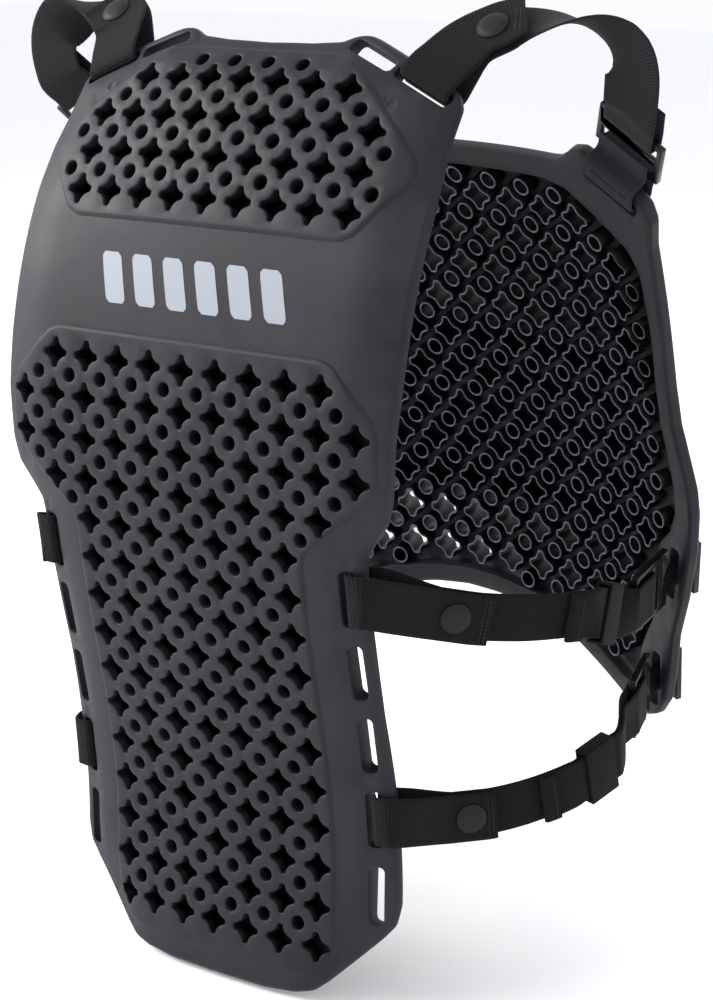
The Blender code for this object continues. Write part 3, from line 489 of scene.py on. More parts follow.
def moulded_finish(name, tint, rough=0.32, metallic=0.0, grain=700.0, depth=0.05, gloss=0.5):
    """Injection-moulded acetal or enamelled steel: even colour with faint wear and a fine skin."""
    material, tree, shader = finish_base(name, tint, rough, metallic, Specular_IOR_Level=gloss)
    spot = node(tree, "TexCoord").outputs["Object"]
    skin = node(tree, "TexNoise", {"Scale": grain, "Detail": 3.0}, Vector=spot).outputs["Fac"]
    scuff = node(tree, "TexNoise", {"Scale": 90.0, "Detail": 4.0, "Roughness": 0.7}, Vector=spot).outputs["Fac"]
    rub = node(tree, "MapRange", {"To Min": rough - 0.06, "To Max": rough + 0.14}, Value=scuff)
    tree.links.new(rub.outputs[0], shader.inputs["Roughness"])
    wear = node(tree, "MapRange", {"To Min": 0.0, "To Max": 0.5}, Value=scuff).outputs[0]
    tone = node(tree, "Mix", {"data_type": "RGBA", 6: tint, 7: shade(tint, 1.35)}, i0=wear)
    tree.links.new(tone.outputs[2], shader.inputs["Base Color"])
    bump = node(tree, "Bump", {"Strength": depth, "Distance": 0.0001}, Height=skin)
    tree.links.new(bump.outputs[0], shader.inputs["Normal"])
    return material


FINISHES = {}


def finishes():
    """Every finish, made once."""
    if not FINISHES:
        scene = bpy.context.scene
        p, s = scene.protector_panels, scene.protector_straps
        FINISHES.update(
            # a dull satin with soft clouding, brightest where the surface turns
            rubber=rubber_finish("moulded rubber", p.rubber),
            # the same rubber where little light reaches, almost black
            recess=rubber_finish("moulded rubber in the recess", p.rubber_painted_shade, 0.1, 0.36, 0.3),
            # the thin tube ends, which catch the light as pale outlines
            rims=rubber_finish("moulded rubber of the tube rims", shade(p.rubber, 9.0), 0.1, 0.42),
            # flat pale print with no shine
            ink=moulded_finish("screen-printed ink", p.print_grey, 0.5, grain=1800.0),
            # matt black weave, each pick just visible
            elastic=webbing_finish("elastic webbing", s.webbing, 0.9, 1.1, 0.5, 0.4),
            # the same webbing painted 2.2 times lighter on the shoulder straps, a painted light where light falls on
            # them
            lining=webbing_finish("elastic webbing of the shoulder straps", shade(s.webbing, 2.2), 0.9, 1.1, 0.5, 0.4),
            # matt black with fine ribs across it
            flap=webbing_finish("ribbed elastic webbing", s.webbing, 1.25, 1.5, 0.0, 0.75),
            # coarser ribs, a shade lighter than the straps
            anchor=webbing_finish("cross-ribbed webbing", s.ribbed, 1.15, 3.0, 0.0, 0.9),
            # dull thread, seen by its relief more than its colour
            thread=moulded_finish("bonded nylon thread", s.thread, 0.6, grain=2500.0),
            # dark moulding with a narrow, sharp highlight
            acetal=moulded_finish("moulded acetal", s.plastic, 0.26, gloss=0.42),
            # dull painted dome with a broad, soft highlight
            enamel=moulded_finish("matt enamelled steel", s.cap, 0.46, gloss=0.22),
            # dark metal, bright only along its edges
            steel=moulded_finish("blackened steel", s.steel, 0.34, 1.0),
        )
    return FINISHES


def paint(obj, *names):
    obj.data.materials.clear()
    for name in names:
        obj.data.materials.append(finishes()[name])


# ---------------------------------------------------------------------------------------- panels
def star_ring(reach):
    """A four-armed hole with a concave arc between its arms."""
    k = reach / 7.7
    arm, tip = 1.55 * k, reach
    quarter = [(tip - 0.75 * k, -arm), (tip, -0.55 * arm), (tip, 0.55 * arm), (tip - 0.75 * k, arm)]
    r, c = 9.3 * k, 10.0 * k
    start = math.atan2(arm - c, -math.sqrt(r * r - (arm - c) ** 2))
    end = math.atan2(-math.sqrt(r * r - (arm - c) ** 2), arm - c)
    start, end = start % (2 * math.pi), end % (2 * math.pi)
    quarter += [(c + r * math.cos(a), c + r * math.sin(a)) for a in np.linspace(start, end, 6)[1:-1]]
    points = []
    for turn in range(4):
        a = math.radians(90 * turn)
        points += [(x * math.cos(a) - y * math.sin(a), x * math.sin(a) + y * math.cos(a)) for x, y in quarter]
    return np.array(points)


def circle_ring(radius, count=18):
    a = np.arange(count) * 2 * math.pi / count
    return np.stack([radius * np.cos(a), radius * np.sin(a)], axis=1)


def slot_ring(u, v, turn, long, wide, corner=4):
    c, s = math.cos(math.radians(turn)), math.sin(math.radians(turn))
    ring = []
    for quarter, (sx, sy) in enumerate(((1, 1), (-1, 1), (-1, -1), (1, -1))):
        for k in range(corner + 1):
            a = math.radians(90 * quarter + 90 * k / corner)
            x = sx * (long / 2 - SLOT_ROUND) + SLOT_ROUND * math.cos(a)
            y = sy * (wide / 2 - SLOT_ROUND) + SLOT_ROUND * math.sin(a)
            ring.append((u + x * c - y * s, v + x * s + y * c))
    return np.array(ring)


def punches(name, shape, centres, low, top, rim):
    """One cutter for many like holes, flared at the outer face so that the hole's edge comes out rounded."""
    levels = [(low, 0.0), (top - rim, 0.0), (top - 0.55 * rim, 0.12 * rim), (top - 0.2 * rim, 0.42 * rim),
              (top + 0.02, 1.0 * rim), (top + 2.0, 1.0 * rim)]
    n = len(shape)
    verts, faces = [], []
    for u, v in centres:
        start = len(verts)
        for w, out in levels:
            verts += [(u + x, v + y, w) for x, y in offset_ring(shape, out)]
        faces.append(tuple(start + i for i in range(n - 1, -1, -1)))
        faces.append(tuple(start + (len(levels) - 1) * n + i for i in range(n)))
        for k in range(len(levels) - 1):
            q = start + k * n
            faces += [(q + i, q + (i + 1) % n, q + n + (i + 1) % n, q + n + i) for i in range(n)]
    return mesh_object(name, verts, faces)


def tubes(name, shape, centres, panel, floor=None):
    """Thin-walled tubes of one section standing on the panel's skin, with rounded rims at its inner face.

    floor is the height of a thin floor that closes each tube.
    """
    low = -panel["thick"]
    section = [(-SKIN + 0.3, TUBE_WALL), (low + 0.4, TUBE_WALL), (low + 0.02, 0.72 * TUBE_WALL),
               (low + 0.02, 0.35 * TUBE_WALL), (low + 0.4, 0.03), (-SKIN + 0.3, 0.03)]
    n, m = len(shape), len(section)
    rings = [offset_ring(shape, out) for _, out in section]
    verts, faces = [], []
    for u, v in centres:
        start = len(verts)
        for (w, _), ring in zip(section, rings):
            verts += [(u + x, v + y, w) for x, y in ring]
        for k in range(m):
            a, b = start + k * n, start + (k + 1) % m * n
            faces += [(a + i, a + (i + 1) % n, b + (i + 1) % n, b + i) for i in range(n)]
        if floor is not None:
            start = len(verts)
            verts += [(u + x, v + y, w) for w in (floor - 0.8, floor) for x, y in rings[1] * 0.35 + rings[-1] * 0.65]
            faces += [tuple(start + i for i in range(n - 1, -1, -1)), tuple(start + n + i for i in range(n))]
            faces += [(start + i, start + (i + 1) % n, start + n + (i + 1) % n, start + n + i) for i in range(n)]
    return mesh_object(name, verts, faces)


def shape_to_panel(obj, panel, half):
    """Bends a flat piece onto the panel's face, thinning it towards the panel's edge."""
    flat = coordinates(obj)
    fall = edge_fall(panel, edge_distance(flat[:, :2], whole(half)))
    share = np.clip((flat[:, 2] + panel["thick"]) / panel["thick"], 0, 1)
    place_points(obj, face(panel, flat[:, 0], flat[:, 1], flat[:, 2] - fall * share) * MM)
    faces_outward(obj)


def build_panel(name, body, node_name, panel, half, zones, pockets, slots, groups, rim, step, floor=None, dimples=()):
    """The moulded plate with its raised zones, inner pockets, slots and holes, and the tubes behind the holes.

    groups holds (shape, all centres, centres that go right through).
    """
    thick = panel["thick"]
    ring = soft_ring(half)
    plate = slab(name, ring, -thick, 0.0, step)
    rounding = [(-thick - 2.0, 2.6), (-thick, 2.2), (-thick + 0.7, 1.0), (-thick + 2.4, 0.0), (-3.0, 0.0),
                (-1.0, 0.8), (0.0, 2.0), (1.0, 2.6)]
    cut(plate, stacked("edge tool", [at_height(offset_ring(ring, -inset), w) for w, inset in rounding]), "INTERSECT")
    for k, zone in enumerate(zones):
        zring = soft_ring(zone)
        pad = slab("pad", zring, -0.8, ZONE_RAISE, step)
        cut(pad, stacked("pad tool", [at_height(offset_ring(zring, -i), w) for w,
                                      i in ((-0.81, -0.2), (0.0, 0.1), (0.55, 0.6), (ZONE_RAISE - 0.1, 1.7),
                                            (ZONE_RAISE + 0.02, 2.6))]), "INTERSECT")
        cut(plate, pad, "UNION")
    for pocket in pockets:
        pring = soft_ring(pocket)
        levels = [(-thick - 2, 1.2), (-thick - 0.01, 1.1), (-thick + 0.5, 0.35), (-thick + 1.5, 0.0),
                  (-SKIN - 2.0, -0.5), (-SKIN - 0.5, -1.4), (-SKIN, -2.8)]
        cut(plate, stacked("pocket tool", [at_height(offset_ring(pring, out), w) for w, out in levels]))
    slot_levels = [(-thick - 2, 1.0), (-thick, 0.9), (-thick + 0.5, 0.2), (-thick + 1.6, 0.0), (-1.8, 0.0),
                   (-0.5, 0.2), (0.02, 0.9), (3.0, 1.0)]
    for u, v, turn, long in slots:
        for side in (1, -1):
            sring = slot_ring(u, v, turn, long, SLOT_WIDE) * (side, 1)
            cut(plate, stacked("slot tool", [at_height(offset_ring(sring, out), w) for w, out in slot_levels]))
    for shape, _, open_ones in groups:
        if len(open_ones):
            cut(plate, punches("punch", shape, open_ones, -thick - 2, ZONE_RAISE, rim))
    if dimples:
        rings = circle_ring(2.7, 24)
        cut(plate, joined("dimples", [stacked("dimple",
                                              [at_height(rings * k + (side * u, v), w) for w,
                                               k in ((-0.2, 0.9), (0.02, 1.0), (1.0, 1.06))]) for u,
                                               v in dimples for side in (1, -1)]))
    apply_modifier(plate, "TRIANGULATE", quad_method="BEAUTY", ngon_method="BEAUTY")
    lattice = joined(name + "_tubes", [tubes("tubes", shape, every, panel, floor) for shape, every, _ in groups])
    for obj in (plate, lattice):
        shape_to_panel(obj, panel, half)
        smooth(obj, 38)
    # painted shade on pocket floors, hole walls and tube walls; painted highlight on the tube ends
    mark_recess(plate, panel, half, pockets)
    paint(plate, "rubber", "recess")
    paint(lattice, "recess", "rims")
    mark_rims(lattice, panel)
    for obj in (plate, lattice):
        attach(obj, body)
    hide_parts(node_name)
    return plate, lattice


def flat_place(obj, panel):
    """Centres, in millimetres, and normals of a bent piece's faces in the row frame."""
    centre = np.array([p.center[:] for p in obj.data.polygons]) / MM
    normal = np.array([p.normal[:] for p in obj.data.polygons])
    return centre, normal


def mark_recess(plate, panel, half, pockets):
    """Gives the darker rubber, a painted shade, to the pocket floors and the holes' walls, which lie deep inside."""
    centre, normal = flat_place(plate, panel)
    vs = np.arange(-150.0, 460.0, 2.0)
    line = face(panel, np.zeros_like(vs), vs, 0.0)
    v = np.interp(-centre[:, 2], -line[:, 2], vs)
    bend = np.interp(v, panel["bend_v"], panel["bend"]) / 1000
    u = np.arcsin(np.clip(centre[:, 0] * bend, -1, 1)) / bend
    base = face(panel, u, v, np.zeros_like(u))
    out = face(panel, u, v, np.ones_like(u)) - base
    depth = np.sum((centre - base) * out, axis=1)
    lean = np.sum(normal * out, axis=1)
    shaded = ((depth < -panel["thick"] + 9.4) & (depth > -panel["thick"] + 0.9) & np.any([inside(np.stack([u, v], 1),
        offset_ring(whole(p), 1.5)) for p in pockets],
        axis=0)) | ((np.abs(lean) < 0.4) & (depth < ZONE_RAISE - 0.3) & (edge_distance(np.stack([u, v], 1),
            whole(half)) > 15))
    plate.data.polygons.foreach_set("material_index", shaded.astype(np.int32))


def mark_rims(lattice, panel):
    """Gives the lightened rubber, a painted highlight, to the tube ends."""
    n = len(lattice.data.polygons)
    normal = np.array([p.normal[:] for p in lattice.data.polygons])
    centre = np.array([p.center[:] for p in lattice.data.polygons]) / MM
    vs = np.arange(-150.0, 460.0, 2.0)
    line = face(panel, np.zeros_like(vs), vs, 0.0)
    v = np.interp(-centre[:, 2], -line[:, 2], vs)
    bend = np.interp(v, panel["bend_v"], panel["bend"]) / 1000
    u = np.arcsin(np.clip(centre[:, 0] * bend, -1, 1)) / bend
    base = face(panel, u, v, np.zeros_like(u))
    out = face(panel, u, v, np.ones_like(u)) - base
    rim = (np.sum(normal * out, axis=1) < -0.45) & (np.sum((centre - base) * out, axis=1) < -panel["thick"] + 0.7)
    lattice.data.polygons.foreach_set("material_index", rim.astype(np.int32))


def back_lattice():
    """Centres of the stars and round holes of the back panel, from its 20 mm pitch."""
    stars = {0: 3, 1: 4, 2: 4, 3: 4, 7: 4, 8: 5, 9: 5, 10: 4, **{j: 3 for j in range(11, 22)}}
    rounds = {-0.5: 2, 0.5: 4, 1.5: 5, 2.5: 5, 7.5: 5, 8.5: 5, 9.5: 5, 10.5: 4, **{j + 0.5: 3 for j in range(11, 21)}}
    star_at = [(20.0 * i, 20.0 * j) for j, reach in stars.items() for i in range(-reach, reach + 1)]
    round_at = [(20.0 * (i + 0.5) * s, 20.0 * j) for j, reach in rounds.items() for i in range(reach) for s in (1, -1)]
    return star_at, round_at


def chest_lattice():
    """Centres of the chest panel's stars and round tubes, from its 22 mm pitch, and those that go right through."""
    pocket = whole(CHEST_POCKETS[0])
    keep = lambda points, room: [p for p in points if inside(np.array([p]),
                                                             pocket)[0] and edge_distance(np.array([p]),
                                                                 pocket)[0] > room]
    star_at = keep([(22.0 * (k + 0.5), -94.0 + 22 * n) for n in range(13) for k in range(-8, 8)], 9.0)
    round_at = keep([(22.0 * k, -105.0 + 22 * n) for n in range(13) for k in range(-8, 9)], 5.2)
    zones = [whole(CHEST_UPPER), whole(CHEST_LOWER)]
    open_ones = lambda points, room: [p for p in points if any(inside(np.array([p]),
                                                                      z)[0] and edge_distance(np.array([p]),
                                                                          z)[0] > room for z in zones)]
    return (star_at, open_ones(star_at, 9.5)), (round_at, open_ones(round_at, 5.4))


class PROTECTOR_OT_back_panel(bpy.types.Operator):
    """Mould the back panel with its two raised, perforated zones"""

    bl_idname = "protector.back_panel"
    bl_label = "Back panel"

    def execute(self, context):
        s = context.scene.protector_panels
        star_at, round_at = back_lattice()
        slots = [(SIDE_SLOT_U, v, 90.0, 28.0) for v in SIDE_SLOT_V] + list(BACK_EAR_SLOTS)
        groups = [(star_ring(s.star_reach / MM), star_at, star_at),
                  (circle_ring(s.circle_radius / MM), round_at, round_at)]
        build_panel("back_plate", "back", "back_panel", BACK, BACK_EDGE, [BACK_UPPER, BACK_LOWER], BACK_POCKETS,
                    slots, groups, s.rim / MM, 9.0, -10.5, EJECTOR_SPOTS)
        return {"FINISHED"}


class PROTECTOR_OT_chest_panel(bpy.types.Operator):
    """Mould the chest panel with its recess and standing tubes"""

    bl_idname = "protector.chest_panel"
    bl_label = "Chest panel"

    def execute(self, context):
        s = context.scene.protector_panels
        (star_at, star_open), (round_at, round_open) = chest_lattice()
        slots = [(u, v, 90.0 + t, 30.0) for u, v, t in CHEST_SIDE_SLOTS] + [(*CHEST_EAR_SLOT, 34.0)]
        groups = [(star_ring(s.star_reach / MM * 1.04), star_at, star_open),
                  (circle_ring(s.circle_radius / MM * 1.1), round_at, round_open)]
        build_panel("chest_plate", "chest", "chest_panel", CHEST, CHEST_EDGE, [CHEST_UPPER, CHEST_LOWER],
                    CHEST_POCKETS, slots, groups, s.rim / MM, 9.0)
        return {"FINISHED"}


class PROTECTOR_OT_mark(bpy.types.Operator):
    """Print a plain row of slanted bars on the smooth band"""

    bl_idname = "protector.mark"
    bl_label = "Printed mark"

    def execute(self, context):
        bars = []
        for k in range(MARK_BARS):
            left = -56.0 + k * BAR_PITCH
            bar = grid("bar", (0, 0), (1, 1), 1 / 14)
            co = coordinates(bar)
            t, a = co[:, 1] * 2 - 1, co[:, 0]
            ease = 1 - 0.32 * np.clip((np.abs(t) - 0.78) / 0.22, 0, 1) ** 2
            co[:, 0] = left + 7.5 + (a - 0.5) * 12.2 * ease - t * 3.4
            co[:, 1] = 101.0 + t * BAR_TALL / 2
            co[:, 2] = 0.10
            place_points(bar, co)
            apply_modifier(bar, "SOLIDIFY", thickness=0.09, offset=-1.0)
            bars.append(bar)
        mark = joined("printed_bars", bars)
        shape_to_panel(mark, BACK, BACK_EDGE)
        smooth(mark, 40)
        paint(mark, "ink")
        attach(mark, "back")
        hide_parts("printed_mark")
        return {"FINISHED"}


# ---------------------------------------------------------------------------------------- strap paths
def smooth_path(points, step, bend=16.0):
    """Centripetal curve through the points, with points closer together where it turns more."""
    p = np.array(points, float)
    p = np.vstack([2 * p[0] - p[1], p, 2 * p[-1] - p[-2]])
    out = []
    for i in range(1, len(p) - 2):
        knots = [0.0]
        for a, b in ((i - 1, i), (i, i + 1), (i + 1, i + 2)):
            knots.append(knots[-1] + max(np.linalg.norm(p[b] - p[a]), 1e-6) ** 0.5)
        t0, t1, t2, t3 = knots
        for t in np.linspace(t1, t2, 16, endpoint=False):
            a1 = (t1 - t) / (t1 - t0) * p[i - 1] + (t - t0) / (t1 - t0) * p[i]
            a2 = (t2 - t) / (t2 - t1) * p[i] + (t - t1) / (t2 - t1) * p[i + 1]
            a3 = (t3 - t) / (t3 - t2) * p[i + 1] + (t - t2) / (t3 - t2) * p[i + 2]
            b1 = (t2 - t) / (t2 - t0) * a1 + (t - t0) / (t2 - t0) * a2
            b2 = (t3 - t) / (t3 - t1) * a2 + (t - t1) / (t3 - t1) * a3
            out.append((t2 - t) / (t2 - t1) * b1 + (t - t1) / (t2 - t1) * b2)
    out = np.array(out + [p[-2]])
    move = np.diff(out, axis=0)
    length = np.linalg.norm(move, axis=1)
    way = move / length[:, None]
    turn = np.concatenate([[0], np.degrees(np.arccos(np.clip(np.sum(way[1:] * way[:-1], axis=1), -1, 1)))])
    effort = np.concatenate([[0], np.cumsum(length / step + turn / bend)])
    at = np.linspace(0, effort[-1], max(2, int(round(effort[-1])) + 1))
    return np.stack([np.interp(at, effort, out[:, k]) for k in range(3)], axis=1)


def lengths(path):
    return np.concatenate([[0], np.cumsum(np.linalg.norm(np.diff(path, axis=0), axis=1))])


def straighten(path, wide, at, half):
    """Makes the stretch of half each side of at flat and untwisted."""
    run = lengths(path)
    pick = lambda d: np.array([np.interp(d, run, path[:, k]) for k in range(3)])
    lo, hi = pick(at - half), pick(at + half)
    w = np.array([np.interp(at, run, wide[:, k]) for k in range(3)])
    t = (hi - lo) / np.linalg.norm(hi - lo)
    w -= t * w.dot(t)
    w /= np.linalg.norm(w)
    before, after = run < at - half - 1.0, run > at + half + 1.0
    path = np.vstack([path[before], [lo, (lo + hi) / 2, hi], path[after]])
    return path, np.vstack([wide[before], [w, w, w], wide[after]]), int(before.sum()) + 1


def nearest(path, points):
    return [int(np.argmin(np.linalg.norm(path - p, axis=1))) for p in points]


def tangents(path):
    t = np.gradient(path, axis=0)
    return t / np.linalg.norm(t, axis=1)[:, None]


def square(path, wide):
    t = tangents(path)
    wide = wide - t * np.sum(wide * t, axis=1)[:, None]
    return wide / np.linalg.norm(wide, axis=1)[:, None]


def turned_wide(path, knots, wides):
    """The width direction at each point, passing through the given one at each knot and square to the path."""
    run = lengths(path)
    at = [run[np.argmin(np.linalg.norm(path - k, axis=1))] for k in knots]
    return square(path, np.stack([np.interp(run, at, np.array(wides)[:, k]) for k in range(3)], axis=1))


def strap_normal(path, wide, outer):
    n = np.cross(tangents(path), wide)
    n /= np.linalg.norm(n, axis=1)[:, None]
    return n if np.sum(n[: len(n) // 3] @ np.array(outer)) > 0 else -n


def slot_wrap(s0, n0, away, outer_w, inner_w, bar_far):
    """Strap points from inside the slot to the bar's inner side, and flap points over its outer side."""
    mid = (outer_w + inner_w) / 2
    strap = [s0 + n0 * (mid - 0.5), s0 + n0 * (inner_w + 0.2), s0 + n0 * (inner_w - 1.4) + away * 1.2,
             s0 + n0 * (inner_w - 2.7) + away * 3.4, s0 + n0 * (inner_w - 3.9) + away * 7.0]
    flap = [s0 + n0 * (outer_w - 1.3), s0 + n0 * (outer_w - 0.1), s0 + n0 * (outer_w + 1.4) + away * 1.2,
            s0 + n0 * (outer_w + 1.9) + away * 3.4, s0 + n0 * (outer_w + 1.6) + away * (bar_far - 0.5)]
    return strap, flap


def side_strap_paths(kind):
    """Every path of one side strap on the wearer's right."""
    slot_v = SIDE_SLOT_V[0] if kind == "upper" else SIDE_SLOT_V[3]
    run = [np.array(p) + SHIFT for p in SIDE_RUNS[kind]]
    chest_slot = CHEST_SIDE_SLOTS[kind == "lower"]
    snap_at, flap_long, keeper_mid, keeper_at, tail_stop = (52.0, 68.0, 144.0, 141.0,
                                                            112.0) if kind == "upper" else (46.0, 60.0, 118.0, 118.0,
                                                                84.0)
    outer_w, inner_w = border_faces(BACK, whole(BACK_EDGE), SIDE_SLOT_U + 2, slot_v)
    s0, down, _, n0 = frame_at(BACK, -SIDE_SLOT_U, slot_v, 0.0, 90.0)
    down = down if down[2] < 0 else -down
    out = np.cross(n0, down)
    out = out if out[0] < 0 else -out
    cu, cv, turn = chest_slot
    co, ci = border_faces(CHEST, whole(CHEST_EDGE), cu, cv)
    c0, cdown, _, cn = frame_at(CHEST, -cu, cv, (co + ci) / 2, 90.0 - turn)
    cdown = cdown if cdown[2] < 0 else -cdown
    cout = np.cross(cn, cdown)
    cout = cout if cout[0] < 0 else -cout
    half = (co - ci) / 2
    heel = c0 - cn * (half + 5.6) + cout * 0.5
    back_way = run[-1] - heel
    back_way -= cdown * back_way.dot(cdown)
    back_way /= np.linalg.norm(back_way)
    plate_n = np.cross(back_way, cdown)
    plate_n = plate_n if plate_n.dot(cout) > 0 else -plate_n
    origin = heel + back_way * 7.5
    at = lambda x, n: origin + back_way * x + plate_n * n
    start, flap_start = slot_wrap(s0, n0, out, outer_w, inner_w, 9.5)
    hop = 3.3
    forward = smooth_path(start + run + [at(30, -hop - 0.4), at(22, -hop), at(12, -hop)], 6.0)
    f = (lengths(forward) / lengths(forward)[-1])[:, None]
    wide = square(forward, down * (1 - f) + cdown * f)
    forward, wide, k_snap = straighten(forward, wide, snap_at, 9.0)
    forward, wide, k_keep = straighten(forward, wide, keeper_mid, 14.5)
    normal = strap_normal(forward, wide, out)
    bend = [at(7.4, -hop), at(6.4, -2.9), at(5.9, -1.7), at(5.9, 0), at(5.9, 1.7), at(6.4, 2.9), at(7.4, hop),
            at(12, hop), at(20, hop), at(24, hop)]
    run_len = lengths(forward)
    keep = (run_len > tail_stop) & (run_len < run_len[-1] - 20)
    tail = (forward + normal * TAIL_LIFT)[keep][::-1]
    t_end, n_end = tangents(forward)[keep][0], normal[keep][0]
    hem = [tail[-1] - t_end * 1.6 + n_end * 0.5, tail[-1] - t_end * 2.2 + n_end * 1.4,
           tail[-1] - t_end * 1.6 + n_end * 2.2,
           tail[-1] + t_end * 1.0 + n_end * 2.4, tail[-1] + t_end * 6.0 + n_end * 2.3]
    path = np.vstack([forward, bend, tail, hem])
    path_wide = square(path, np.vstack([wide, [cdown] * len(bend), wide[keep][::-1], [wide[keep][0]] * len(hem)]))
    k_end = int(np.argmin(np.abs(run_len - flap_long)))
    flap_path, flap_wide = flap_over(forward, wide, normal, flap_start, k_snap, k_end)
    return {"path": path, "wide": path_wide, "flap": flap_path, "flap_wide": flap_wide, "normal": normal,
            "forward": forward,
            "k_snap": k_snap, "k_end": k_end, "keep": keep, "run": run_len,
            "tail": tail, "tail_n": n_end, "tail_t": t_end, "tail_wide": wide[keep][0], "origin": origin}


def flap_over(forward, wide, normal, flap_start, k_snap, k_end):
    lifted = forward + normal * FLAP_LIFT
    first = smooth_path(flap_start + [lifted[k_snap - 1]], 6.0)[:-1]
    path = np.vstack([first, lifted[k_snap - 1 : k_end + 1]])
    directions = np.vstack([wide[nearest(forward, first)], wide[k_snap - 1 : k_end + 1]])
    directions[: len(first) + 1] = square(path, directions)[: len(first) + 1]
    return path, directions


def shoulder_strap_paths():
    """Every path of the shoulder strap and its anchor on the wearer's right."""
    u, v, turn, _ = BACK_EAR_SLOTS[1]
    outer_w, inner_w = border_faces(BACK, whole(BACK_EDGE), u, v - 3)
    s0, along, up, n0 = frame_at(BACK, -u, v, 0.0, -turn)
    along = along if along[0] < 0 else -along
    cu, cv, cturn = CHEST_EAR_SLOT
    co, ci = border_faces(CHEST, whole(CHEST_EDGE), cu, cv - 4)
    c0, calong, cup, cn = frame_at(CHEST, -cu, cv, 0.0, -cturn)
    calong = calong if calong[0] < 0 else -calong
    run = [np.array(p) + SHIFT for p in SHOULDER_RUN]
    mid, half, top = c0 + cn * (co + ci) / 2, (co - ci) / 2, cup
    ln = np.cross(top, calong)
    ln = ln if ln.dot(cn) > 0 else -ln
    origin = mid + top * 29.0 + ln * 4.5
    at = lambda x, n: origin + top * x + ln * n
    inside_p, outside_p = mid - cn * (half + 2.2), mid + cn * (half + 2.2)
    points = [at(-1.5, -4.2), at(-12.0, -4.6), inside_p + cup * 14.0, inside_p + cup * 3.6,
              inside_p + cup * 1.2 + cn * 0.8, mid - cn * (half - 0.3),
              mid + cn * (half - 0.3), outside_p + cup * 1.2 - cn * 0.8, outside_p + cup * 3.6, outside_p + cup * 8.0,
              at(-13.2, 3.3), at(-9.6, 3.3),
              at(-7.9, 2.9), at(-7.3, 1.7), at(-7.3, -0.6)]
    anchor = smooth_path(points, 3.0, 9.0)
    start, flap_start = slot_wrap(s0, n0, up, outer_w, inner_w, 10.0)
    hop = 3.4
    forward = smooth_path(start + run + [at(24, -hop - 0.6), at(16, -hop), at(12, -hop)], 6.0)
    wide = turned_wide(forward, [start[-1], *run, at(20, -hop)], [along, *SHOULDER_WIDE, calong])
    forward, wide, k_snap = straighten(forward, wide, 47.0, 9.0)
    normal = strap_normal(forward, wide, n0)
    run_len = lengths(forward)
    bend = [at(8.8, -hop), at(7.8, -2.9), at(7.3, -1.7), at(7.3, 0), at(7.3, 1.7), at(7.8, 2.9), at(8.8, hop),
            at(12, hop), at(16, hop + 0.1), at(24, hop - 0.4), at(30, hop - 0.8)]
    path = np.vstack([forward, bend])
    path_wide = square(path, np.vstack([wide, [calong] * len(bend)]))
    k_end = int(np.argmin(np.abs(run_len - 64)))
    flap_path, flap_wide = flap_over(forward, wide, normal, flap_start, k_snap, k_end)
    return {"path": path, "wide": path_wide, "flap": flap_path, "flap_wide": flap_wide, "normal": normal,
            "forward": forward,
            "k_snap": k_snap, "k_end": k_end, "run": run_len, "anchor": anchor,
            "anchor_wide": square(anchor, np.array([calong] * len(anchor))),
            "origin": origin, "calong": calong, "inside": inside_p, "cup": cup, "cn": cn}


def refine(path, wide, step=2.2):
    """The same path with more points, on a cubic through the given ones. A stretch over 7 mm long stays straight."""
    run = lengths(path)
    long = run[:-1][np.diff(run) > 7.0]
    ends = run[1:][np.diff(run) > 7.0]
    knots = np.sort(np.concatenate([run, long + 1.2, ends - 1.2]))
    wide = np.stack([np.interp(knots, run, wide[:, j]) for j in range(3)], axis=1)
    path = np.stack([np.interp(knots, run, path[:, j]) for j in range(3)], axis=1)
    run = lengths(path)
    at = []
    for a, b in zip(run, run[1:]):
        n = max(1, int(round((b - a) / step)))
        at += [a + (b - a) * k / n for k in range(n)]
    at = np.array(at + [run[-1]])
    t = np.gradient(path, run, axis=0)
    k = np.clip(np.searchsorted(run, at, side="right") - 1, 0, len(run) - 2)
    h = (run[k + 1] - run[k])[:, None]
    s = ((at - run[k]) / (run[k + 1] - run[k]))[:, None]
    new = ((2 * s**3 - 3 * s**2 + 1) * path[k] + (s**3 - 2 * s**2 + s) * h * t[k]
           + (3 * s**2 - 2 * s**3) * path[k + 1] + (s**3 - s**2) * h * t[k + 1])
    w = np.stack([np.interp(at, run, wide[:, j]) for j in range(3)], axis=1)
    return new, square(new, w)


def eased(path, wide, low, high, reach=6.0):
    """Spreads the turns between two lengths along the path over a few millimetres, which lessens folds."""
    run = lengths(path)
    near = np.exp(-(((run[:, None] - run) / reach) ** 2)) * np.gradient(run)
    near /= near.sum(axis=1)[:, None]
    share = (np.clip((run - low) / 8, 0, 1) * np.clip((high - run) / 8, 0, 1))[:, None]
    moved = near @ path + tangents(path) * (run - near @ run)[:, None]
    path, wide = path + (moved - path) * share, wide + (near @ wide - wide) * share
    return path, square(path, wide)


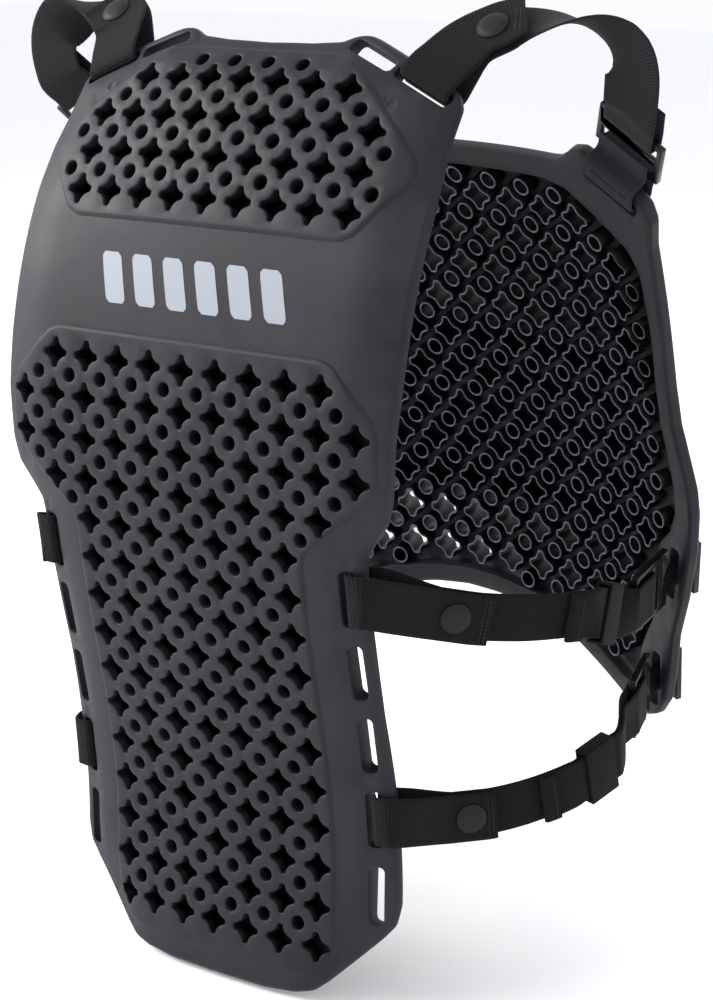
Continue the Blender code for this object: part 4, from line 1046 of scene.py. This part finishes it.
def tape(name, path, wide, width, thick, mirror, ease=None):
    """Woven tape along a path: a lens-edged section swept along it, with a UV map in millimetres."""
    path, wide = refine(path, wide)
    if ease:
        path, wide = eased(path, wide, *ease)
    t = tangents(path)
    n = np.cross(t, wide)
    n /= np.linalg.norm(n, axis=1)[:, None]
    a, h = width / 2, thick / 2
    section = [(-a, -0.35 * h), (-a + 0.45, -0.95 * h), (-a + 2.0, -h), (-a / 3, -0.97 * h), (a / 3, -0.97 * h),
               (a - 2.0, -h), (a - 0.45, -0.95 * h), (a, -0.35 * h),
               (a, 0.35 * h), (a - 0.45, 0.95 * h), (a - 2.0, h), (a / 3, 0.97 * h), (-a / 3, 0.97 * h),
               (-a + 2.0, h), (-a + 0.45, 0.95 * h), (-a, 0.35 * h)]
    m = len(section)
    verts = [p + b * x + k * y for p, b, k in zip(path, wide, n) for x, y in section]
    faces = [tuple(range(m - 1, -1, -1))]
    for i in range(len(path) - 1):
        q = i * m
        faces += [(q + k, q + (k + 1) % m, q + m + (k + 1) % m, q + m + k) for k in range(m)]
    q = (len(path) - 1) * m
    faces.append(tuple(range(q, q + m)))
    obj = mesh_object(name, np.array(verts) * mirror * MM, faces)
    layer = obj.data.uv_layers.new(name="weave")
    run = lengths(path)
    for loop in obj.data.loops:
        i, k = divmod(loop.vertex_index, m)
        layer.data[loop.index].uv = (section[k][0], run[i])
    faces_outward(obj)
    smooth(obj, 50)
    return obj


def stitches(name, rows, mirror):
    """Sewing thread: each row is (points, normals), and one stitch lies on each pair of points."""
    verts, faces = [], []
    sides, cuts = 5, ((0.0, 0.05), (0.18, 0.2), (0.5, 0.26), (0.82, 0.2), (1.0, 0.05))
    for points, normals in rows:
        for p, q, n in zip(points[:-1], points[1:], normals[:-1]):
            way = q - p
            side = np.cross(way, n)
            side /= np.linalg.norm(side)
            start = len(verts)
            for f, r in cuts:
                centre = p + way * (0.08 + 0.84 * f) + n * (0.08 + 0.12 * math.sin(math.pi * f))
                verts += [centre + side * r * math.cos(2 * math.pi * k / sides) + n * r * math.sin(2 * math.pi * k / sides)
                          for k in range(sides)]
            faces += [tuple(start + k for k in range(sides - 1, -1, -1)),
                      tuple(start + 4 * sides + k for k in range(sides))]
            for c in range(4):
                s = start + c * sides
                faces += [(s + k, s + (k + 1) % sides, s + sides + (k + 1) % sides,
                           s + sides + k) for k in range(sides)]
    obj = mesh_object(name, np.array(verts) * mirror * MM, faces)
    faces_outward(obj)
    smooth(obj, 60)
    paint(obj, "thread")
    return obj


def row_across(centre, wide, normal, half, lift, count, zig=0.0, along=None):
    """A row of stitch points across a tape, straight or zig-zag."""
    points = []
    for k in range(count + 1):
        p = centre + wide * (-half + 2 * half * k / count) + normal * lift
        if zig:
            p = p + along * (zig if k % 2 else -zig)
        points.append(p)
    return points, [normal] * len(points)


def mirror_of(side):
    return np.array([-side, 1.0, 1.0])


def show(obj, body, slot, *nodes):
    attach(obj, body)
    if nodes:
        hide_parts(*nodes)
    return obj


def strap_pieces(tag, paths, side, width, finish, ease=None, flap_ease=None):
    """Strap, flap and their sewing for one tag."""
    mirror = mirror_of(side)
    strap = tape("tape_" + tag, paths["path"], paths["wide"], width - 0.6, WEB - 0.3, mirror, ease)
    paint(strap, finish)
    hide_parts("strap_" + tag)
    flap = tape("flap_tape_" + tag, paths["flap"], paths["flap_wide"], width, WEB, mirror, flap_ease)
    paint(flap, "flap")
    show(flap, "flap_" + tag, "webbing", "flap_" + tag)
    end, w, n = paths["flap"][-1], paths["flap_wide"][-1], paths["normal"][paths["k_end"]]
    t = tangents(paths["flap"])[-1]
    rows = [row_across(end - t * 2.2, w, n, width / 2 - 1.6, WEB / 2, 11),
            row_across(end - t * 4.4, w, n, width / 2 - 1.6, WEB / 2, 11)]
    show(stitches("flap_seam_" + tag, rows, mirror), "flap_" + tag, "webbing")
    return strap, flap


class PROTECTOR_OT_side_straps(bpy.types.Operator):
    """Run the four side straps from the back slots round to the hook buckles"""

    bl_idname = "protector.side_straps"
    bl_label = "Side straps"

    def execute(self, context):
        for kind in ("upper", "lower"):
            paths = side_strap_paths(kind)
            for label, side in SIDES:
                tag = "%s_%s" % (kind, label)
                mirror = mirror_of(side)
                strap, _ = strap_pieces(tag, paths, side, SIDE_WEB_WIDE, "elastic")
                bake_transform(strap)
                p, w, n, t = paths["tail"][-1], paths["tail_wide"], paths["tail_n"], paths["tail_t"]
                rows = [row_across(p + t * 3.6, w, n, 10.8, 2.35 + WEB / 2, 10)]
                show(stitches("hem_seam_" + tag, rows, mirror), "chest", "webbing")
        return {"FINISHED"}


class PROTECTOR_OT_shoulder_straps(bpy.types.Operator):
    """Run the two shoulder straps over the top, and the anchors through the chest panel's ears"""

    bl_idname = "protector.shoulder_straps"
    bl_label = "Shoulder straps"

    def execute(self, context):
        paths = shoulder_strap_paths()
        for label, side in SIDES:
            tag = "shoulder_" + label
            mirror = mirror_of(side)
            # the shoulder straps take the webbing painted lighter, a painted light
            strap, _ = strap_pieces(tag, paths, side, SHOULDER_WEB_WIDE, "lining", (14.0, 142.0), (12.0, 90.0))
            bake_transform(strap)
            anchor = tape("anchor_tape_" + tag, paths["anchor"], paths["anchor_wide"], SHOULDER_WEB_WIDE, WEB, mirror)
            paint(anchor, "anchor")
            show(anchor, "chest", "ribbed_webbing", "anchor_" + tag)
            spot = paths["inside"] + paths["cup"] * 9.0
            n = -paths["cn"]
            k = int(np.argmin(np.linalg.norm(paths["anchor"] - spot, axis=1)))
            p = paths["anchor"][k]
            rows = [row_across(p, paths["calong"], n, 12.0, WEB / 2 + 0.05, 16, 1.1, paths["cup"])]
            show(stitches("anchor_bartack_" + tag, rows, mirror), "chest", "ribbed_webbing")
        return {"FINISHED"}


# ---------------------------------------------------------------------------------------- fittings
def eased_copy(name, node_name, width, segments=3, angle=30):
    """A copy of a CAD node with its edges rounded."""
    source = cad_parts[node_name]
    obj = bpy.data.objects.new(name, source.data.copy())
    bpy.context.scene.collection.objects.link(obj)
    select_only(obj)
    bpy.ops.object.mode_set(mode="EDIT")
    bpy.ops.mesh.select_all(action="SELECT")
    bpy.ops.mesh.remove_doubles(threshold=1e-6)
    bpy.ops.mesh.dissolve_limited(angle_limit=math.radians(2))
    bpy.ops.object.mode_set(mode="OBJECT")
    apply_modifier(obj, "BEVEL", width=width, segments=segments, limit_method="ANGLE",
                   angle_limit=math.radians(angle), use_clamp_overlap=True)
    smooth(obj, 40)
    return obj


class PROTECTOR_OT_buckles(bpy.types.Operator):
    """Round the moulded hook buckles and ladder buckles"""

    bl_idname = "protector.buckles"
    bl_label = "Buckles"

    def execute(self, context):
        for tag in SIDE_TAGS:
            buckle = eased_copy("hook_buckle_" + tag, "buckle_" + tag, 0.0009)
            paint(buckle, "acetal")
            show(buckle, "chest", "acetal", "buckle_" + tag)
        for tag in SHOULDER_TAGS:
            buckle = eased_copy("ladder_lock_" + tag, "ladder_buckle_" + tag, 0.0009)
            paint(buckle, "acetal")
            show(buckle, "chest", "acetal", "ladder_buckle_" + tag)
        return {"FINISHED"}


class PROTECTOR_OT_keepers(bpy.types.Operator):
    """Put the elastic keeper loops round the side straps"""

    bl_idname = "protector.keepers"
    bl_label = "Keepers"

    def execute(self, context):
        for tag in SIDE_TAGS:
            keeper = eased_copy("keeper_loop_" + tag, "keeper_" + tag, 0.0006, 3)
            centre = coordinates(keeper).mean(0)
            co = coordinates(keeper) - centre
            _, _, axes = np.linalg.svd(co, full_matrices=False)
            along = co @ axes.T / MM
            layer = keeper.data.uv_layers.new(name="weave")
            for loop in keeper.data.loops:
                a = along[loop.vertex_index]
                layer.data[loop.index].uv = (a[1], a[0])
            paint(keeper, "flap")
            show(keeper, "keeper_" + tag, "webbing", "keeper_" + tag)
        return {"FINISHED"}


def spun(name, profile, origin, axis, segments=56):
    """A closed profile of (radius, height), in millimetres, spun about an axis through origin."""
    verts = [(r, 0.0, h) for r, h in profile]
    obj = mesh_object(name, verts, [])
    select_only(obj)
    bm = bmesh.new()
    bm.from_mesh(obj.data)
    bm.verts.ensure_lookup_table()
    for a, b in zip(bm.verts[:-1], bm.verts[1:]):
        bm.edges.new((a, b))
    bmesh.ops.spin(bm, geom=list(bm.verts) + list(bm.edges), cent=(0, 0, 0), axis=(0, 0, 1), steps=segments,
                   angle=2 * math.pi)
    bmesh.ops.remove_doubles(bm, verts=bm.verts, dist=1e-4)
    bm.to_mesh(obj.data)
    bm.free()
    axis = np.array(axis) / np.linalg.norm(axis)
    side = np.cross(axis, (0.31, 0.45, 0.84))
    side /= np.linalg.norm(side)
    co = coordinates(obj)
    place_points(obj, (np.array(origin) + co @ np.array([side, np.cross(axis, side), axis])) * MM)
    faces_outward(obj)
    smooth(obj, 40)
    return obj


class PROTECTOR_OT_snaps(bpy.types.Operator):
    """Set the snap fasteners' caps and finish their steel parts"""

    bl_idname = "protector.snaps"
    bl_label = "Snap fasteners"

    def execute(self, context):
        side_paths = {kind: side_strap_paths(kind) for kind in ("upper", "lower")}
        side_paths["shoulder"] = shoulder_strap_paths()
        top = FLAP_LIFT + WEB / 2
        profile = [(0, top + 2.05), (1.6, top + 2.02), (3.2, top + 1.92), (4.6, top + 1.72), (5.7, top + 1.42),
                   (6.3, top + 1.12), (6.55, top + 1.0), (6.9, top + 1.0),
                   (7.25, top + 0.9), (7.45, top + 0.65), (7.5, top + 0.35), (7.35, top + 0.12), (1.8, top + 0.12),
                   (1.8, FLAP_LIFT - WEB / 2), (0, FLAP_LIFT - WEB / 2)]
        for tag in SHOULDER_TAGS + SIDE_TAGS:
            kind, label = tag.split("_")
            paths = side_paths[kind]
            mirror = mirror_of(dict(SIDES)[label])
            k = paths["k_snap"]
            cap = spun("snap_dome_" + tag, profile, paths["forward"][k] * mirror, paths["normal"][k] * mirror)
            paint(cap, "enamel")
            show(cap, "flap_" + tag, "snap_cap", "snap_cap_" + tag)
            for part in ("snap_socket_", "snap_stud_", "snap_rivet_"):
                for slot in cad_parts[part + tag].material_slots:
                    slot.material = finishes()["steel"]
        return {"FINISHED"}


# ---------------------------------------------------------------------------------------- stage
class PROTECTOR_OT_stage(bpy.types.Operator):
    """Set the pale floor, soft light and camera"""

    bl_idname = "protector.stage"
    bl_label = "Stage"

    def execute(self, context):
        s = context.scene.protector_stage
        bpy.ops.mesh.primitive_plane_add(size=14, location=(0, 0, CAD_LOW[2] - 0.001))
        floor = context.object
        floor.name = "studio_floor"
        material, tree, shader = finish_base("painted studio floor", s.floor, 0.75)
        spot = node(tree, "TexCoord").outputs["Object"]
        cloud = node(tree, "TexNoise", {"Scale": 1.6, "Detail": 2.0}, Vector=spot).outputs["Fac"]
        tone = node(tree, "Mix", {"data_type": "RGBA", 6: shade(s.floor, 0.985), 7: s.floor}, i0=cloud)
        tree.links.new(tone.outputs[2], shader.inputs["Base Color"])
        floor.data.materials.append(material)
        world = bpy.data.worlds.new("studio")
        world.use_nodes = True
        world.node_tree.nodes["Background"].inputs[0].default_value = (0.97, 0.975, 1.0, 1.0)
        world.node_tree.nodes["Background"].inputs[1].default_value = 1.0
        context.scene.world = world
        context.scene.view_settings.view_transform = "Standard"
        lights = (("key", (0.9, 1.6, 1.3), 0.9, s.key_power * 0.5), ("fill", (-1.9, 0.2, 0.6), 1.2, s.key_power * 0.1),
                  ("rim", (1.8, 0.8, 0.6), 1.1, s.key_power * 1.35),
                  ("front", (0.3, -1.9, 1.0), 1.4, s.key_power * 0.35))
        for name, place, size, power in lights:
            bpy.ops.object.light_add(type="AREA", location=place)
            light = context.object
            light.name = "light_" + name
            light.data.energy, light.data.size = power, size
            way = np.array([0.0, -0.02, -0.2]) - np.array(place)
            light.rotation_mode = "QUATERNION"
            light.rotation_quaternion = Vector(way.tolist()).to_track_quat("-Z", "Y")
        bpy.ops.object.camera_add(location=CAMERA_AT)
        camera = context.object
        right, up, back = (np.array(v, float) for v in CAMERA_AXES)
        up -= right * up.dot(right) / right.dot(right)
        axes = [v / np.linalg.norm(v) for v in (right, up, np.cross(right, up))]
        camera.rotation_mode = "QUATERNION"
        camera.rotation_quaternion = Matrix(np.array(axes).T.tolist()).to_quaternion()
        camera.data.sensor_width, camera.data.lens = SENSOR_WIDE, LENS
        camera.data.clip_start, camera.data.clip_end = 0.05, 50.0
        context.scene.camera = camera
        return {"FINISHED"}




class PROTECTOR_PT_sidebar(bpy.types.Panel):
    """Sizes, colours and build steps"""

    bl_idname = "PROTECTOR_PT_sidebar"
    bl_label = "Torso protector"
    bl_space_type = "VIEW_3D"
    bl_region_type = "UI"
    bl_category = "Protector"

    def draw(self, context):
        for group in (context.scene.protector_panels, context.scene.protector_straps, context.scene.protector_stage):
            for key in group.bl_rna.properties.keys():
                if key not in ("rna_type", "name"):
                    self.layout.prop(group, key)
        for operator in OPERATORS:
            self.layout.operator(operator.bl_idname)


SETTINGS = (("protector_panels", ProtectorPanelSettings), ("protector_straps", ProtectorStrapSettings),
            ("protector_stage", ProtectorStageSettings))
OPERATORS = (PROTECTOR_OT_stage, PROTECTOR_OT_back_panel, PROTECTOR_OT_chest_panel, PROTECTOR_OT_mark,
             PROTECTOR_OT_side_straps, PROTECTOR_OT_shoulder_straps,
             PROTECTOR_OT_buckles, PROTECTOR_OT_keepers, PROTECTOR_OT_snaps)


def register():
    for cls in [c for _, c in SETTINGS] + list(OPERATORS) + [PROTECTOR_PT_sidebar]:
        bpy.utils.register_class(cls)
    for name, cls in SETTINGS:
        setattr(bpy.types.Scene, name, bpy.props.PointerProperty(type=cls))


def unregister():
    for name, _ in SETTINGS:
        delattr(bpy.types.Scene, name)
    for cls in [PROTECTOR_PT_sidebar] + list(OPERATORS)[::-1] + [c for _, c in SETTINGS]:
        bpy.utils.unregister_class(cls)


def main():
    register()
    for operator in OPERATORS:
        group, name = operator.bl_idname.split(".")
        getattr(getattr(bpy.ops, group), name)()


if __name__ == "__main__":
    main()
